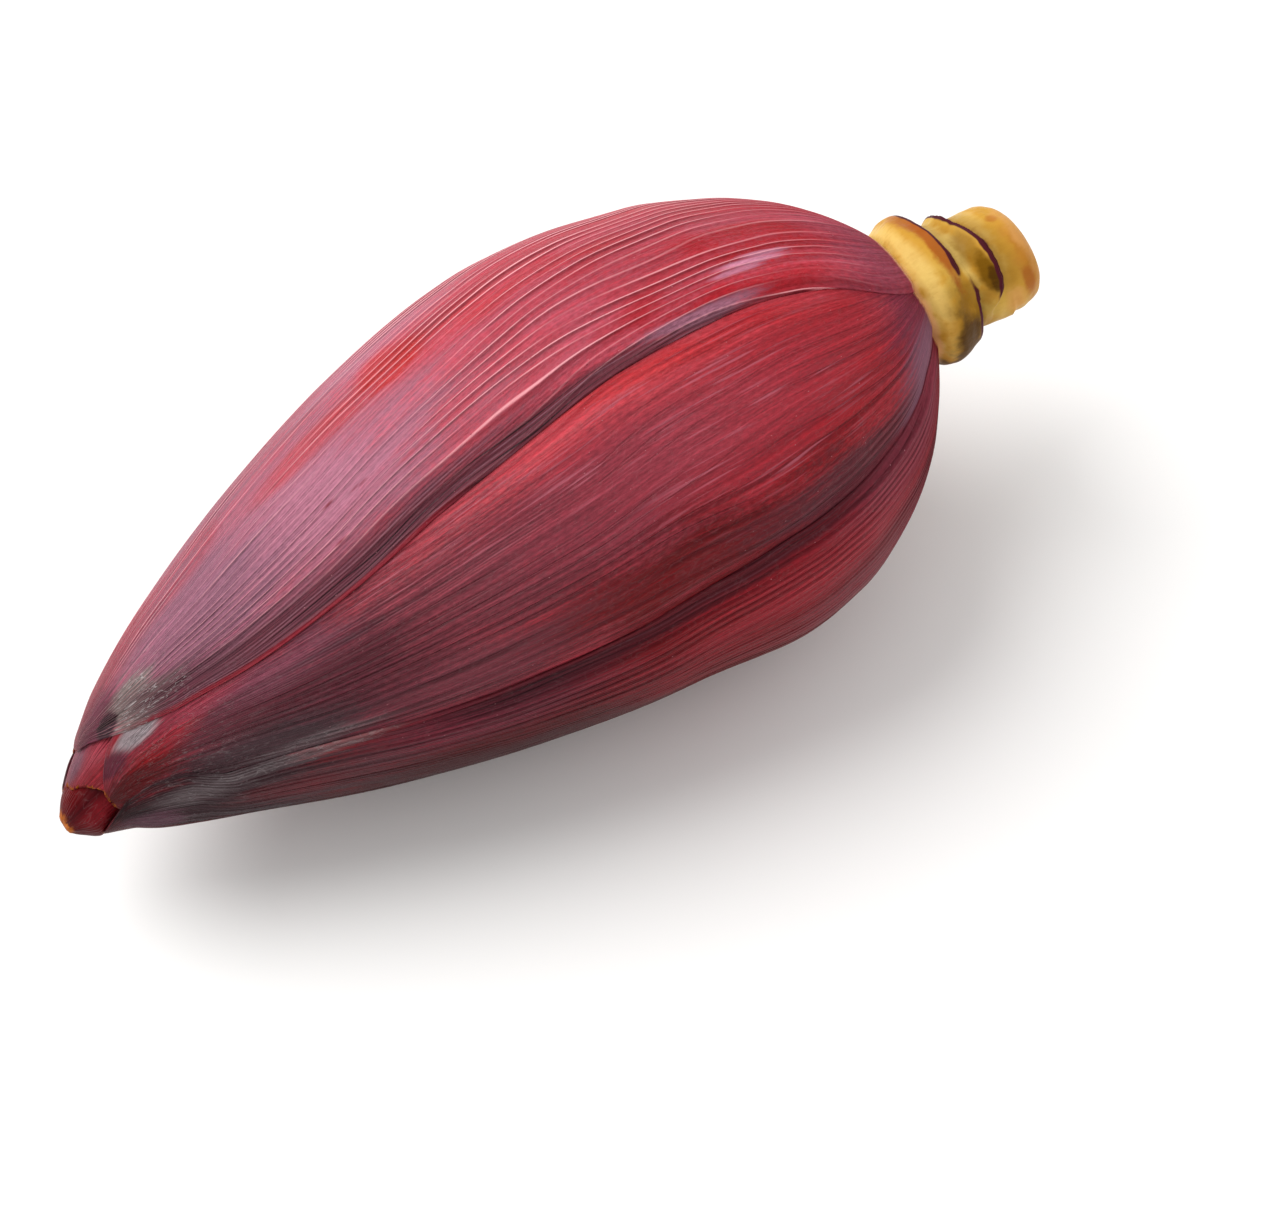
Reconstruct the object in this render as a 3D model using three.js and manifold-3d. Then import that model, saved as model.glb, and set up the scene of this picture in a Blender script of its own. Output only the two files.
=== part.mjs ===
// A banana blossom, as picked: a closed bud of overlapping bracts on the cut stub of its stem.
// Millimetres, +Z up. The blossom lies on its belly, which touches the surface around the origin.
// The stem points towards +X and the bud's tip towards -X.
//
// Places on the bud are given by two numbers. A station is the distance from the bud's base along
// its axis, towards the tip; the stem has negative stations. An angle goes round the axis in
// degrees, from 0 at the top towards -Y.
import * as THREE from 'three';
import { ParametricGeometry } from 'three/addons/geometries/ParametricGeometry.js';
import { mergeVertices } from 'three/addons/utils/BufferGeometryUtils.js';
import Module from 'manifold-3d';

// ---- Driving dimensions ----

const BUD_LENGTH = 215.5;
const STEM_LENGTH = 29.6;
const PITCH = THREE.MathUtils.degToRad(7);
const BELLY_STATION = 78;
const AXIS_HEIGHT = 48.6;

// Radius of the closed bud at each station.
const BUD_OUTLINE = [
  [0, 15.5], [3, 19.8], [8, 26], [16, 34], [28, 42.2], [44, 49], [65, 52.3], [90, 50.7],
  [120, 45.2], [150, 36.4], [175, 26.4], [195, 17], [207, 9.5], [211, 7],
];

// Sideways bend of the axis at each station, and the direction that it bends in.
const AXIS_BEND = [
  [-STEM_LENGTH, -2.6], [0, 0], [20, -1.3], [50, -0.4], [85, 3.8], [130, 4.9], [175, 5.1],
  [200, 3.6], [BUD_LENGTH, 0],
];
const BEND_ANGLE = -60;

// A bract is thickest in its middle and thin at its margins and its tip.
const BRACT_THICKNESS = [[0, 1.6], [20, 2.3], [120, 2.2], [170, 1.6], [195, 0.9], [206, 0.6]];
const MARGIN_THICKNESS = 0.45;
const MARGIN_WIDTH = 9;
const LAYER_GAP = 0.5;

// Each bract's two margins, as the angle at each station. Layer 0 is the outermost.
const TOP_BRACT = {
  layer: 0,
  start: 0.4,
  end: 206,
  left: [[0, -140], [16, -130], [45, -120], [100, -115], [150, -112], [180, -105], [195, -88],
    [203, -62], [206, -42]],
  right: [[0, 36], [5, 30.5], [10, 24.5], [20, 15], [30, 11.3], [48, 10], [63, 11.2], [98, 16.5],
    [120, 19.5], [142, 23.8], [165, 26], [182, 22.5], [192, 13], [198, 2], [202, -16], [206, -38]],
};
const BOTTOM_BRACT = {
  layer: 0,
  start: 0.4,
  end: 209.5,
  left: [[0, 84], [4, 76], [10, 70.5], [20, 69], [44, 68], [58, 68], [74, 71], [95, 74.3],
    [124, 75.5], [145, 74], [158, 71], [172, 69.3], [181, 69], [185, 64.5], [190, 56], [196, 53.5],
    [202, 58.5], [206, 75], [209.5, 102]],
  right: [[0, 205], [45, 198], [100, 195], [150, 193], [180, 185], [195, 170], [204, 145],
    [209.5, 108]],
};
const FRONT_BRACT = {
  layer: 1,
  start: 0.4,
  end: 207,
  left: [[0, -10], [45, -14], [100, -8], [150, -4], [185, -3], [192, 2], [199, 12], [203, 22],
    [207, 36]],
  right: [[0, 104], [45, 104], [100, 108], [150, 105], [180, 95], [195, 80], [203, 66], [206, 53],
    [207, 44]],
};
const BACK_BRACT = {
  layer: 1,
  start: 0.4,
  end: 208,
  left: [[0, -215], [45, -212], [100, -206], [150, -202], [180, -188], [192, -165], [203, -110],
    [208, -66]],
  right: [[0, -80], [45, -78], [150, -76], [185, -62], [200, -48], [205, -48], [208, -58]],
};
const UPPER_INNER_BRACT = {
  layer: 2,
  start: 0.4,
  end: 209.5,
  left: [[0, -66], [180, -64], [200, -56], [209.5, -48]],
  right: [[0, 56], [180, 52], [200, 42], [209.5, 26]],
};
const BACK_INNER_BRACT = {
  layer: 2,
  start: 0.4,
  end: 210,
  left: [[0, -190], [180, -182], [200, -160], [210, -130]],
  right: [[0, -76], [180, -74], [200, -70], [210, -64]],
};

// The heart of the bud fills the bracts and shows at the tip, where it has an outline of its own.
const HEART_START = 9.2;
const HEART_LAYER = 3;
const HEART_TIP_START = 210;
const HEART_TIP = [[210, 4.3], [213, 3.3], [BUD_LENGTH, 1.7]];

// Outline of the stem: a plug inside the bud, then two flanges that fallen bracts have left.
const STEM_OUTLINE = [
  [8.4, 8.6], [0, 8.6], [0, 15.9], [-2.5, 17.3], [-6.5, 17], [-8, 15.6], [-8.6, 14], [-12, 13.9],
  [-15.5, 14.5], [-17, 13.9], [-17.6, 12.9], [-22, 13], [-26, 11.8], [-28.3, 9], [-29.4, 4.5],
];
const FLANGE_LEAN = 2;
const FLANGE_LEAN_ANGLE = 25;

// Fineness of the meshes.
const OUTER_STEPS = { along: 26, across: 16 };
const INNER_STEPS = { along: 24, across: 14 };
const HEART_STEPS = { along: 24, around: 30 };
const STEM_STEPS_AROUND = 30;

// ---- Places on the bud ----

const towardsStem = new THREE.Vector3(Math.cos(PITCH), 0, Math.sin(PITCH));
const upward = new THREE.Vector3(-Math.sin(PITCH), 0, Math.cos(PITCH));
const towardsFront = new THREE.Vector3(0, -1, 0);

// A smooth curve through [station, value] pairs that never overshoots them.
function valueAt(pairs, station) {
  const last = pairs.length - 1;
  if (station <= pairs[0][0]) return pairs[0][1];
  if (station >= pairs[last][0]) return pairs[last][1];
  const k = pairs.findIndex((pair) => pair[0] > station) - 1;
  const rise = (i) => (pairs[i + 1][1] - pairs[i][1]) / (pairs[i + 1][0] - pairs[i][0]);
  const slope = (i) => {
    if (i === 0) return rise(0);
    if (i === last) return rise(last - 1);
    const before = rise(i - 1);
    const after = rise(i);
    return before * after <= 0 ? 0 : (2 * before * after) / (before + after);
  };
  const span = pairs[k + 1][0] - pairs[k][0];
  const t = (station - pairs[k][0]) / span;
  return (2 * t ** 3 - 3 * t ** 2 + 1) * pairs[k][1]
    + (t ** 3 - 2 * t ** 2 + t) * span * slope(k)
    + (3 * t ** 2 - 2 * t ** 3) * pairs[k + 1][1]
    + (t ** 3 - t ** 2) * span * slope(k + 1);
}

function outward(angle) {
  const turn = THREE.MathUtils.degToRad(angle);
  return upward.clone().multiplyScalar(Math.cos(turn)).addScaledVector(towardsFront, Math.sin(turn));
}

function axisPoint(station) {
  return new THREE.Vector3(0, 0, AXIS_HEIGHT)
    .addScaledVector(towardsStem, BELLY_STATION - station)
    .addScaledVector(outward(BEND_ANGLE), valueAt(AXIS_BEND, station));
}

function surfacePoint(station, angle, radius) {
  return axisPoint(station).addScaledVector(outward(angle), radius);
}

// Depth below the closed bud's surface at which a layer of bracts begins.
function layerDepth(layer, station) {
  return layer * (valueAt(BRACT_THICKNESS, station) + LAYER_GAP);
}

// ---- Closed bodies ----

// Turns rings of points into one closed body. The first and last ring are folded flat or drawn
// to a point, so that merging equal points closes both ends.
function bodyFromRings(rings) {
  const around = rings[0].length;
  const surface = new ParametricGeometry((u, v, target) => {
    const ring = rings[Math.round(u * (rings.length - 1))];
    target.copy(ring[Math.round(v * around) % around]);
  }, rings.length - 1, around);
  surface.deleteAttribute('normal');
  surface.deleteAttribute('uv');
  return withoutSlivers(mergeVertices(surface, 1e-3));
}

function withoutSlivers(geometry) {
  const corners = geometry.index.array;
  const kept = [];
  for (let i = 0; i < corners.length; i += 3) {
    const [a, b, c] = corners.slice(i, i + 3);
    if (a !== b && b !== c && c !== a) kept.push(a, b, c);
  }
  geometry.setIndex(kept);
  geometry.computeVertexNormals();
  return geometry;
}

// Evenly spaced steps from 0 to 1, or closer together towards both ends where ease is near 1.
function steps(count, ease) {
  return Array.from({ length: count + 1 }, (_, i) => {
    const t = i / count;
    return THREE.MathUtils.lerp(t, (1 - Math.cos(Math.PI * t)) / 2, ease);
  });
}

// ---- Pieces ----

// A bract is a thin shell over its part of the bud, from the base to its tip.
function bract(shape, counts) {
  const shares = steps(counts.across, 0.35);
  const rings = steps(counts.along, 0.9).map((share) => {
    const station = THREE.MathUtils.lerp(shape.start, shape.end, share);
    const left = valueAt(shape.left, station);
    const right = valueAt(shape.right, station);
    const radius = valueAt(BUD_OUTLINE, station) - layerDepth(shape.layer, station);
    const thickness = valueAt(BRACT_THICKNESS, station);
    const outer = shares.map((across) => {
      const fromMargin = Math.min(across, 1 - across) * THREE.MathUtils.degToRad(right - left) * radius;
      const fullness = THREE.MathUtils.smoothstep(fromMargin, 0, MARGIN_WIDTH);
      const dip = (thickness - MARGIN_THICKNESS) * (1 - fullness);
      return surfacePoint(station, THREE.MathUtils.lerp(left, right, across), radius - dip);
    });
    const inner = shares.map((across) => (
      surfacePoint(station, THREE.MathUtils.lerp(left, right, across), radius - thickness)));
    return [...outer, ...inner.reverse()];
  });
  return bodyFromRings([foldedFlat(rings[0]), ...rings, foldedFlat(rings[rings.length - 1])]);
}

// Moves each point of a shell's ring halfway to the point across its thickness.
function foldedFlat(ring) {
  return ring.map((point, i) => point.clone().lerp(ring[ring.length - 1 - i], 0.5));
}

function drawnToCentre(ring) {
  const centre = ring.reduce((sum, point) => sum.add(point), new THREE.Vector3());
  centre.divideScalar(ring.length);
  return ring.map(() => centre.clone());
}

function turnedBody(profile, counts) {
  const rings = profile.map(([station, radius]) => (
    Array.from({ length: counts.around }, (_, j) => {
      const angle = (360 * j) / counts.around;
      return surfacePoint(station + counts.lean(station, angle), angle, radius);
    })));
  return bodyFromRings([drawnToCentre(rings[0]), ...rings, drawnToCentre(rings[rings.length - 1])]);
}

function heart() {
  const profile = steps(HEART_STEPS.along, 0.7).map((share) => {
    const station = THREE.MathUtils.lerp(HEART_START, BUD_LENGTH, share);
    const wrapped = valueAt(BUD_OUTLINE, station) - layerDepth(HEART_LAYER, station);
    return [station, station < HEART_TIP_START ? wrapped : valueAt(HEART_TIP, station)];
  });
  return turnedBody(profile, { around: HEART_STEPS.around, lean: () => 0 });
}

// The flanges lean, so that they stand further out along the stem on one side.
function stem() {
  const lean = (station, angle) => {
    const share = THREE.MathUtils.smoothstep(-station, 0, 8) * THREE.MathUtils.smoothstep(-station, -29, -24);
    const side = Math.cos(THREE.MathUtils.degToRad(angle - FLANGE_LEAN_ANGLE));
    return -FLANGE_LEAN * side * share;
  };
  return turnedBody([...STEM_OUTLINE].reverse(), { around: STEM_STEPS_AROUND, lean });
}

// ---- The flat that the blossom rests on ----

const wasm = await Module();
wasm.setup();

function solidFrom(geometry) {
  return new wasm.Manifold(new wasm.Mesh({
    numProp: 3,
    vertProperties: new Float32Array(geometry.attributes.position.array),
    triVerts: new Uint32Array(geometry.index.array),
  }));
}

function geometryFrom(solid) {
  const mesh = solid.getMesh();
  const geometry = new THREE.BufferGeometry();
  geometry.setAttribute('position', new THREE.BufferAttribute(mesh.vertProperties, 3));
  geometry.setIndex(new THREE.BufferAttribute(mesh.triVerts, 1));
  geometry.computeVertexNormals();
  return geometry;
}

function flattenedOnFloor(geometry) {
  const below = new THREE.BoxGeometry(2 * BUD_LENGTH, BUD_LENGTH, BUD_LENGTH);
  below.translate(0, 0, -BUD_LENGTH / 2);
  below.deleteAttribute('normal');
  below.deleteAttribute('uv');
  return geometryFrom(solidFrom(geometry).subtract(solidFrom(mergeVertices(below))));
}

// ---- The blossom ----

const STEM_OCHRE = new THREE.MeshStandardMaterial({ color: 0xc9a23f, roughness: 0.6, metalness: 0 });
const BRACT_MAUVE = new THREE.MeshStandardMaterial({ color: 0x8a4458, roughness: 0.5, metalness: 0 });
const BRACT_CRIMSON = new THREE.MeshStandardMaterial({ color: 0x8c2430, roughness: 0.5, metalness: 0 });
const BRACT_PURPLE = new THREE.MeshStandardMaterial({ color: 0x6e2a38, roughness: 0.55, metalness: 0 });
const INNER_RED = new THREE.MeshStandardMaterial({ color: 0x8e2028, roughness: 0.4, metalness: 0 });

const blossom = new THREE.Group();

function addPiece(name, geometry, material) {
  const piece = new THREE.Mesh(geometry, material);
  piece.name = name;
  blossom.add(piece);
}

addPiece('stem', stem(), STEM_OCHRE);
addPiece('heart', heart(), INNER_RED);
addPiece('back_inner_bract', bract(BACK_INNER_BRACT, INNER_STEPS), INNER_RED);
addPiece('upper_inner_bract', bract(UPPER_INNER_BRACT, INNER_STEPS), INNER_RED);
addPiece('back_bract', bract(BACK_BRACT, OUTER_STEPS), BRACT_PURPLE);
addPiece('front_bract', bract(FRONT_BRACT, OUTER_STEPS), BRACT_CRIMSON);
addPiece('bottom_bract', flattenedOnFloor(bract(BOTTOM_BRACT, OUTER_STEPS)), BRACT_PURPLE);
addPiece('top_bract', bract(TOP_BRACT, OUTER_STEPS), BRACT_MAUVE);

export default blossom;
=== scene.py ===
"""A banana blossom on a pale floor: fine bracts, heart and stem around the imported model."""
import math
from types import SimpleNamespace

import bpy
import numpy as np
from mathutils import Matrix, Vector


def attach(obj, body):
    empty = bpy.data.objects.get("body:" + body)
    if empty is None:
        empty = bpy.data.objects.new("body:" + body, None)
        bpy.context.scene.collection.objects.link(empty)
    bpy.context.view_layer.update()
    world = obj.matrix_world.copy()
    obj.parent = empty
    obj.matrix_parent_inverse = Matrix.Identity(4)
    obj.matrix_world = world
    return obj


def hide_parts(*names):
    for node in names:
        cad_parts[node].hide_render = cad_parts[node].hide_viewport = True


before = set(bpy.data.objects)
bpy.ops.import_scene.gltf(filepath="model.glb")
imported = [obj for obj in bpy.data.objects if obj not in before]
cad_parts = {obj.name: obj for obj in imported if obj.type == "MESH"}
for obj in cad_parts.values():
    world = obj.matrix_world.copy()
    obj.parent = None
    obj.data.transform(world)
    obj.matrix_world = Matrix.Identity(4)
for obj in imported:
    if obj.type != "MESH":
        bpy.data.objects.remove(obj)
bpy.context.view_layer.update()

# ---- Driving dimensions, in millimetres and degrees ----
# A station is the distance from the bud's base along its axis, towards the tip. The stem has
# negative stations. An angle goes round the axis, from 0 at the top towards -Y.

MM = 0.001
BUD_LENGTH = 215.5
STEM_LENGTH = 29.6
PITCH = math.radians(7)
BELLY_STATION = 78
AXIS_HEIGHT = 48.6
BEND_ANGLE = -60

BUD_OUTLINE = [
    (0, 15.5), (3, 19.8), (8, 26), (16, 34), (28, 42.2), (44, 49), (65, 52.3), (90, 50.7),
    (120, 45.2), (150, 36.4), (175, 26.4), (195, 17), (207, 9.5), (211, 6.8), (BUD_LENGTH, 2.3),
]
AXIS_BEND = [
    (-STEM_LENGTH, -2.6), (0, 0), (20, -1.3), (50, -0.4), (85, 3.8), (130, 4.9), (175, 5.1),
    (200, 3.6), (BUD_LENGTH, 0),
]
BRACT_THICKNESS = [(0, 1.6), (20, 2.3), (120, 2.2), (170, 1.6), (195, 0.9), (206, 0.6)]
MARGIN_THICKNESS = 0.32
LAYER_GAP = 0.12
FLOOR_GAP = 0.02

# ---- Curves and places ----


def curve_through(pairs):
    """A smooth curve through (station, value) pairs that never overshoots them."""
    knots, values = np.array(pairs, float).T
    rise = np.diff(values) / np.diff(knots)
    before, after = rise[:-1], rise[1:]
    steady = before * after > 0
    middle = np.where(steady, 2 * before * after / np.where(steady, before + after, 1), 0)
    slopes = np.concatenate([rise[:1], middle, rise[-1:]])

    def value(station):
        station = np.clip(station, knots[0], knots[-1])
        k = np.clip(np.searchsorted(knots, station, side="right") - 1, 0, len(knots) - 2)
        span = knots[k + 1] - knots[k]
        t = (station - knots[k]) / span
        return (
            (2 * t**3 - 3 * t**2 + 1) * values[k]
            + (t**3 - 2 * t**2 + t) * span * slopes[k]
            + (3 * t**2 - 2 * t**3) * values[k + 1]
            + (t**3 - t**2) * span * slopes[k + 1]
        )

    return value


outline_at = curve_through(BUD_OUTLINE)
bend_at = curve_through(AXIS_BEND)
thickness_at = curve_through(BRACT_THICKNESS)

TOWARDS_STEM = np.array([math.cos(PITCH), 0, math.sin(PITCH)])
UPWARD = np.array([-math.sin(PITCH), 0, math.cos(PITCH)])
TOWARDS_FRONT = np.array([0, -1, 0])


def outward(angle):
    """Directions away from the axis at these angles."""
    turn = np.radians(angle)[..., None]
    return np.cos(turn) * UPWARD + np.sin(turn) * TOWARDS_FRONT


def place(station, angle, radius):
    """Points at these stations, angles and distances from the bent axis."""
    along = (BELLY_STATION - station)[..., None] * TOWARDS_STEM
    bend = bend_at(station)[..., None] * outward(np.array(BEND_ANGLE))
    return along + bend + radius[..., None] * outward(angle) + np.array([0, 0, AXIS_HEIGHT])


def ease(value, low, high):
    """Rises smoothly from 0 at low to 1 at high."""
    t = np.clip((value - low) / (high - low), 0, 1)
    return t * t * (3 - 2 * t)


def hump(value, middle, width):
    """Rises smoothly to 1 at its middle and falls to nothing on both sides."""
    return np.exp(-(((value - middle) / width) ** 2))


def mound(station, angle, middle, reach):
    """A hump over a place on the bud."""
    return hump(station, middle[0], reach[0]) * hump(angle, middle[1], reach[1])


def mix(first, second, share):
    """The first value where the share is 0, and the second where it is 1."""
    return first + (second - first) * share


def beside(*values):
    """The values at each place, side by side."""
    return np.stack(np.broadcast_arrays(*values), -1)


def streaks(along, across, cells, seed):
    """Smooth random values from -1 to 1 over a grid of cells, given shares from 0 to 1."""
    rows, columns = cells
    lattice = np.random.default_rng(seed).uniform(-1, 1, (rows + 2, columns + 2))
    y, x = np.clip(along, 0, 1) * rows, np.clip(across, 0, 1) * columns
    row, column = y.astype(int), x.astype(int)
    fy, fx = ease(y - row, 0, 1), ease(x - column, 0, 1)
    near = mix(lattice[row, column], lattice[row, column + 1], fx)
    far = mix(lattice[row + 1, column], lattice[row + 1, column + 1], fx)
    return mix(near, far, fy)


# ---- Meshes ----

COARSE_STEP = 12
EDGE_SHARES = (0.0006, 0.0014, 0.0026, 0.0045)
UV_BORDER = 0.015
UV_INNER_TOP = 0.1
UV_CAP = 0.08


def spread(count, crowding):
    """Shares from 0 to 1, closer together towards both ends, with a few right at them."""
    t = np.linspace(0, 1, count)
    even = mix(t, (1 - np.cos(np.pi * t)) / 2, crowding)
    edge = np.array(EDGE_SHARES)
    return np.unique(np.concatenate([even, edge, 1 - edge]))


def kept_places(count):
    """The few places out of a fine row that a coarse row keeps, with both ends."""
    return np.unique(np.append(np.arange(0, count, COARSE_STEP), count - 1))


def grid_quads(rows, columns, first):
    """Four-cornered faces over a grid of points, numbered from the first."""
    corner = first + np.arange(rows - 1)[:, None] * columns + np.arange(columns - 1)
    ring = beside(corner, corner + columns, corner + columns + 1, corner + 1)
    return ring.reshape(-1, 4)


def rim_faces(fine, coarse, kept):
    """Faces that join a fine line of points to a coarse line with a point at each kept place."""
    stretches = zip(kept[:-1], kept[1:], coarse[:-1], coarse[1:])
    return [[*fine[a:b + 1], q, p] for a, b, p, q in stretches]


def add_object(name, data):
    """A new object in the scene."""
    made = bpy.data.objects.new(name, data)
    bpy.context.scene.collection.objects.link(made)
    return made


def add_piece(node, points, faces, attributes, bake_places):
    """A smooth mesh that stands in for a node, with point attributes and bake places."""
    name = node + "_fine"
    mesh = bpy.data.meshes.new(name)
    mesh.from_pydata((points * MM).tolist(), [], faces)
    for attribute, values in attributes.items():
        layer = mesh.attributes.new(attribute, "FLOAT_VECTOR", "POINT")
        layer.data.foreach_set("vector", np.ascontiguousarray(values, np.float32).ravel())
    uv = mesh.uv_layers.new(name="OFBake")
    uv.data.foreach_set("uv", np.ascontiguousarray(bake_places, np.float32).ravel())
    mesh.polygons.foreach_set("use_smooth", [True] * len(mesh.polygons))
    mesh.update()
    piece = add_object(name, mesh)
    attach(piece, "root")
    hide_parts(node)
    return piece


def shell_piece(node, outer, inner, attributes):
    """A closed shell: a fine outer sheet, a coarse inner one, and rims along all four sides."""
    rows, columns = outer.shape[:2]
    kept_rows, kept_columns = kept_places(rows), kept_places(columns)
    coarse = np.ix_(kept_rows, kept_columns)
    inner = inner[coarse]
    fine_count = rows * columns
    fine_index = np.arange(fine_count).reshape(rows, columns)
    inner_index = fine_count + np.arange(inner[..., 0].size).reshape(inner.shape[:2])

    outer_faces = grid_quads(rows, columns, 0)
    inner_faces = grid_quads(*inner.shape[:2], fine_count)[:, ::-1]
    left = rim_faces(fine_index[:, 0], inner_index[:, 0], kept_rows)
    right = rim_faces(fine_index[:, -1], inner_index[:, -1], kept_rows)
    base = rim_faces(fine_index[0], inner_index[0], kept_columns)
    tip = rim_faces(fine_index[-1], inner_index[-1], kept_columns)
    rims = [face[::-1] for face in left + tip] + right + base
    faces = outer_faces.tolist() + inner_faces.tolist() + rims

    across, along = np.meshgrid(np.linspace(0, 1, columns), np.linspace(0, 1, rows))
    low, high = UV_INNER_TOP + UV_BORDER, 1 - UV_BORDER
    fine_uv = beside(mix(UV_BORDER, high, across), mix(low, high, along))
    border_uv = beside(across, mix(UV_INNER_TOP, 1, along))[coarse]
    inner_uv = beside(across, along * (UV_INNER_TOP - UV_BORDER))[coarse]
    sheet_uv = np.concatenate([fine_uv.reshape(-1, 2), inner_uv.reshape(-1, 2)])
    rim_uv = np.concatenate([fine_uv.reshape(-1, 2), border_uv.reshape(-1, 2)])
    sheet_loops = np.concatenate([outer_faces.ravel(), inner_faces.ravel()])
    bake_places = np.concatenate([sheet_uv[sheet_loops], rim_uv[np.concatenate(rims)]])

    points = np.concatenate([outer.reshape(-1, 3), inner.reshape(-1, 3)])
    values = {
        key: np.concatenate([grid.reshape(-1, 3), grid[coarse].reshape(-1, 3)])
        for key, grid in attributes.items()
    }
    return add_piece(node, points, faces, values, bake_places)


def turned_piece(node, rings, attributes):
    """A closed body from rings of points, with a fan at each end."""
    rows, columns = rings.shape[:2]
    quads = grid_quads(rows, columns + 1, 0)
    index = np.arange(rows)[:, None] * columns + np.arange(columns + 1) % columns
    first_end, last_end = rows * columns, rows * columns + 1
    start_fan = [[a, b, first_end] for a, b in zip(index[0], index[0, 1:])]
    end_fan = [[b, a, last_end] for a, b in zip(index[-1], index[-1, 1:])]
    faces = index.ravel()[quads].tolist() + start_fan + end_fan

    across, along = np.meshgrid(
        np.linspace(0, 1, columns + 1), np.linspace(UV_CAP, 1 - UV_CAP, rows))
    side_uv = beside(across, along).reshape(-1, 2)[quads.ravel()]
    this, following = across[0, :-1], across[0, 1:]
    fan_height = UV_CAP * np.tile([1, 1, 0], columns)
    start_uv = beside(beside(this, following, this).ravel(), fan_height)
    end_uv = beside(beside(following, this, this).ravel(), 1 - fan_height)
    bake_places = np.concatenate([side_uv, start_uv, end_uv])

    def with_ends(grid):
        return np.concatenate([grid.reshape(-1, 3), [grid[0].mean(0), grid[-1].mean(0)]])

    values = {key: with_ends(grid) for key, grid in attributes.items()}
    return add_piece(node, with_ends(rings), faces, values, bake_places)


# ---- Bracts ----
# Each bract's two margins, as the angle at each station. Layer 0 is the outermost. A tip edge
# gives the station where the bract ends, from its left margin (0) to its right margin (1).

TOP_BRACT = dict(
    node="top_bract", layer=0, grid=(205, 450), seed=11, rib_width=2.5, base_fan=0.75, pinch=1.2,
    tip_edge=[(0, 205), (1, 205)], torn=0,
    left=[(0, -140), (16, -130), (45, -120), (100, -115), (150, -112), (180, -105), (195, -88),
          (203, -62), (205, -46)],
    right=[(0, 36), (5, 30.5), (10, 24.5), (20, 15), (30, 11.3), (48, 10), (63, 11.2), (98, 16.5),
           (120, 19.5), (142, 23.8), (165, 26), (182, 22.5), (192, 14), (198, 2), (202, -15),
           (204, -25), (205, -34)],
)
BOTTOM_BRACT = dict(
    node="bottom_bract", layer=0, grid=(200, 400), seed=12, rib_width=2.1, base_fan=0, pinch=-0.8,
    tip_edge=[(0, 209.5), (1, 209.5)], torn=0,
    left=[(0, 84), (4, 76), (10, 70.5), (20, 69), (44, 68), (58, 68), (74, 71), (95, 74.3),
          (124, 75.5), (145, 74), (158, 71), (172, 69.3), (181, 69), (185, 64.5), (190, 56),
          (196, 53.5), (202, 58.5), (206, 75), (209.5, 102)],
    right=[(0, 205), (45, 198), (100, 195), (150, 193), (180, 185), (195, 170), (204, 145),
           (209.5, 108)],
)
FRONT_BRACT = dict(
    node="front_bract", layer=1, grid=(200, 380), seed=13, rib_width=2.9, base_fan=-0.1, pinch=-1.3,
    tip_edge=[(0, 205.2), (0.5, 205), (1, 204.6)], torn=0.25,
    left=[(0, -10), (45, -14), (100, -8), (150, -4), (185, -4), (192, -1), (197.5, 3),
          (200.3, 8), (202.2, 16), (203.4, 22), (204.5, 32), (205, 40)],
    right=[(0, 104), (45, 104), (100, 108), (150, 105), (180, 95), (195, 82), (203, 72),
           (205, 58)],
)
BACK_BRACT = dict(
    node="back_bract", layer=1, grid=(180, 300), seed=14, rib_width=2.4, base_fan=0, pinch=-1,
    tip_edge=[(0, 205.4), (1, 205.4)], torn=0.15,
    left=[(0, -215), (45, -212), (100, -206), (150, -202), (180, -188), (192, -165), (203, -110),
          (205.4, -80)],
    right=[(0, -80), (45, -78), (150, -76), (185, -62), (200, -46), (204, -48), (205.4, -58)],
)
UPPER_INNER_BRACT = dict(
    node="upper_inner_bract", layer=2, grid=(200, 120), seed=15, rib_width=2.2, base_fan=0,
    pinch=0.5,
    tip_edge=[(0, 211.6), (0.2, 210.2), (0.41, 210), (0.57, 208.8), (0.74, 207.2), (0.87, 205.8),
              (1, 204.4)],
    torn=0.3,
    left=[(0, -66), (180, -64), (200, -58), (209.5, -48)],
    right=[(0, 56), (180, 52), (200, 44), (209.5, 34)],
)
BACK_INNER_BRACT = dict(
    node="back_inner_bract", layer=2, grid=(170, 100), seed=16, rib_width=2.2, base_fan=0,
    pinch=0.5,
    tip_edge=[(0, 211), (0.5, 212), (1, 211)], torn=0.3,
    left=[(0, -190), (180, -182), (200, -160), (210, -130), (212, -120)],
    right=[(0, -76), (180, -74), (200, -62), (210, -62), (212, -72)],
)
BRACT_START = 0.2

# A valley is where an outer bract's margin lies down on the bract below. The top bract's ribs
# fade out over one smooth place.
VALLEY_WIDTH = [(0, 2.5), (28, 3), (45, 5.5), (70, 8.5), (150, 8.5), (180, 6), (200, 2.5)]
FAR_VALLEY_WIDTH = 9
LOWER_VALLEY_SHARE = 0.8
FLAT_VALLEY_SHARE = 0.1
SMOOTH_MIDDLE, SMOOTH_REACH, SMOOTH_SHARE = (124, -14), (24, 12), 0.8

# How far past a covering margin a tucked bract rises and shows its relief, in mm.
RISE_PAST_MARGIN = (0.2, 5)
RELIEF_PAST_MARGIN = (-0.6, 1.5)

# The front bract's ridge lies this far past the top bract's margin, and swells up as the valley
# between them widens. Its ribs get stronger with the angle.
RIDGE_HEIGHT, RIDGE_MIDDLE, RIDGE_WIDTH = 0.9, 6, 4.5
RIDGE_VALLEYS = (3, 9)
FRONT_CREST_DEPTH, FRONT_TIP_SHARE = 0.6, 0.6
FRONT_STRENGTHENS, FRONT_TOP_STRENGTH = (25, 50), 0.55
BACK_CREST_DEPTH, BACK_TIP_DEPTH = 0.5, 0.8

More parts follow.
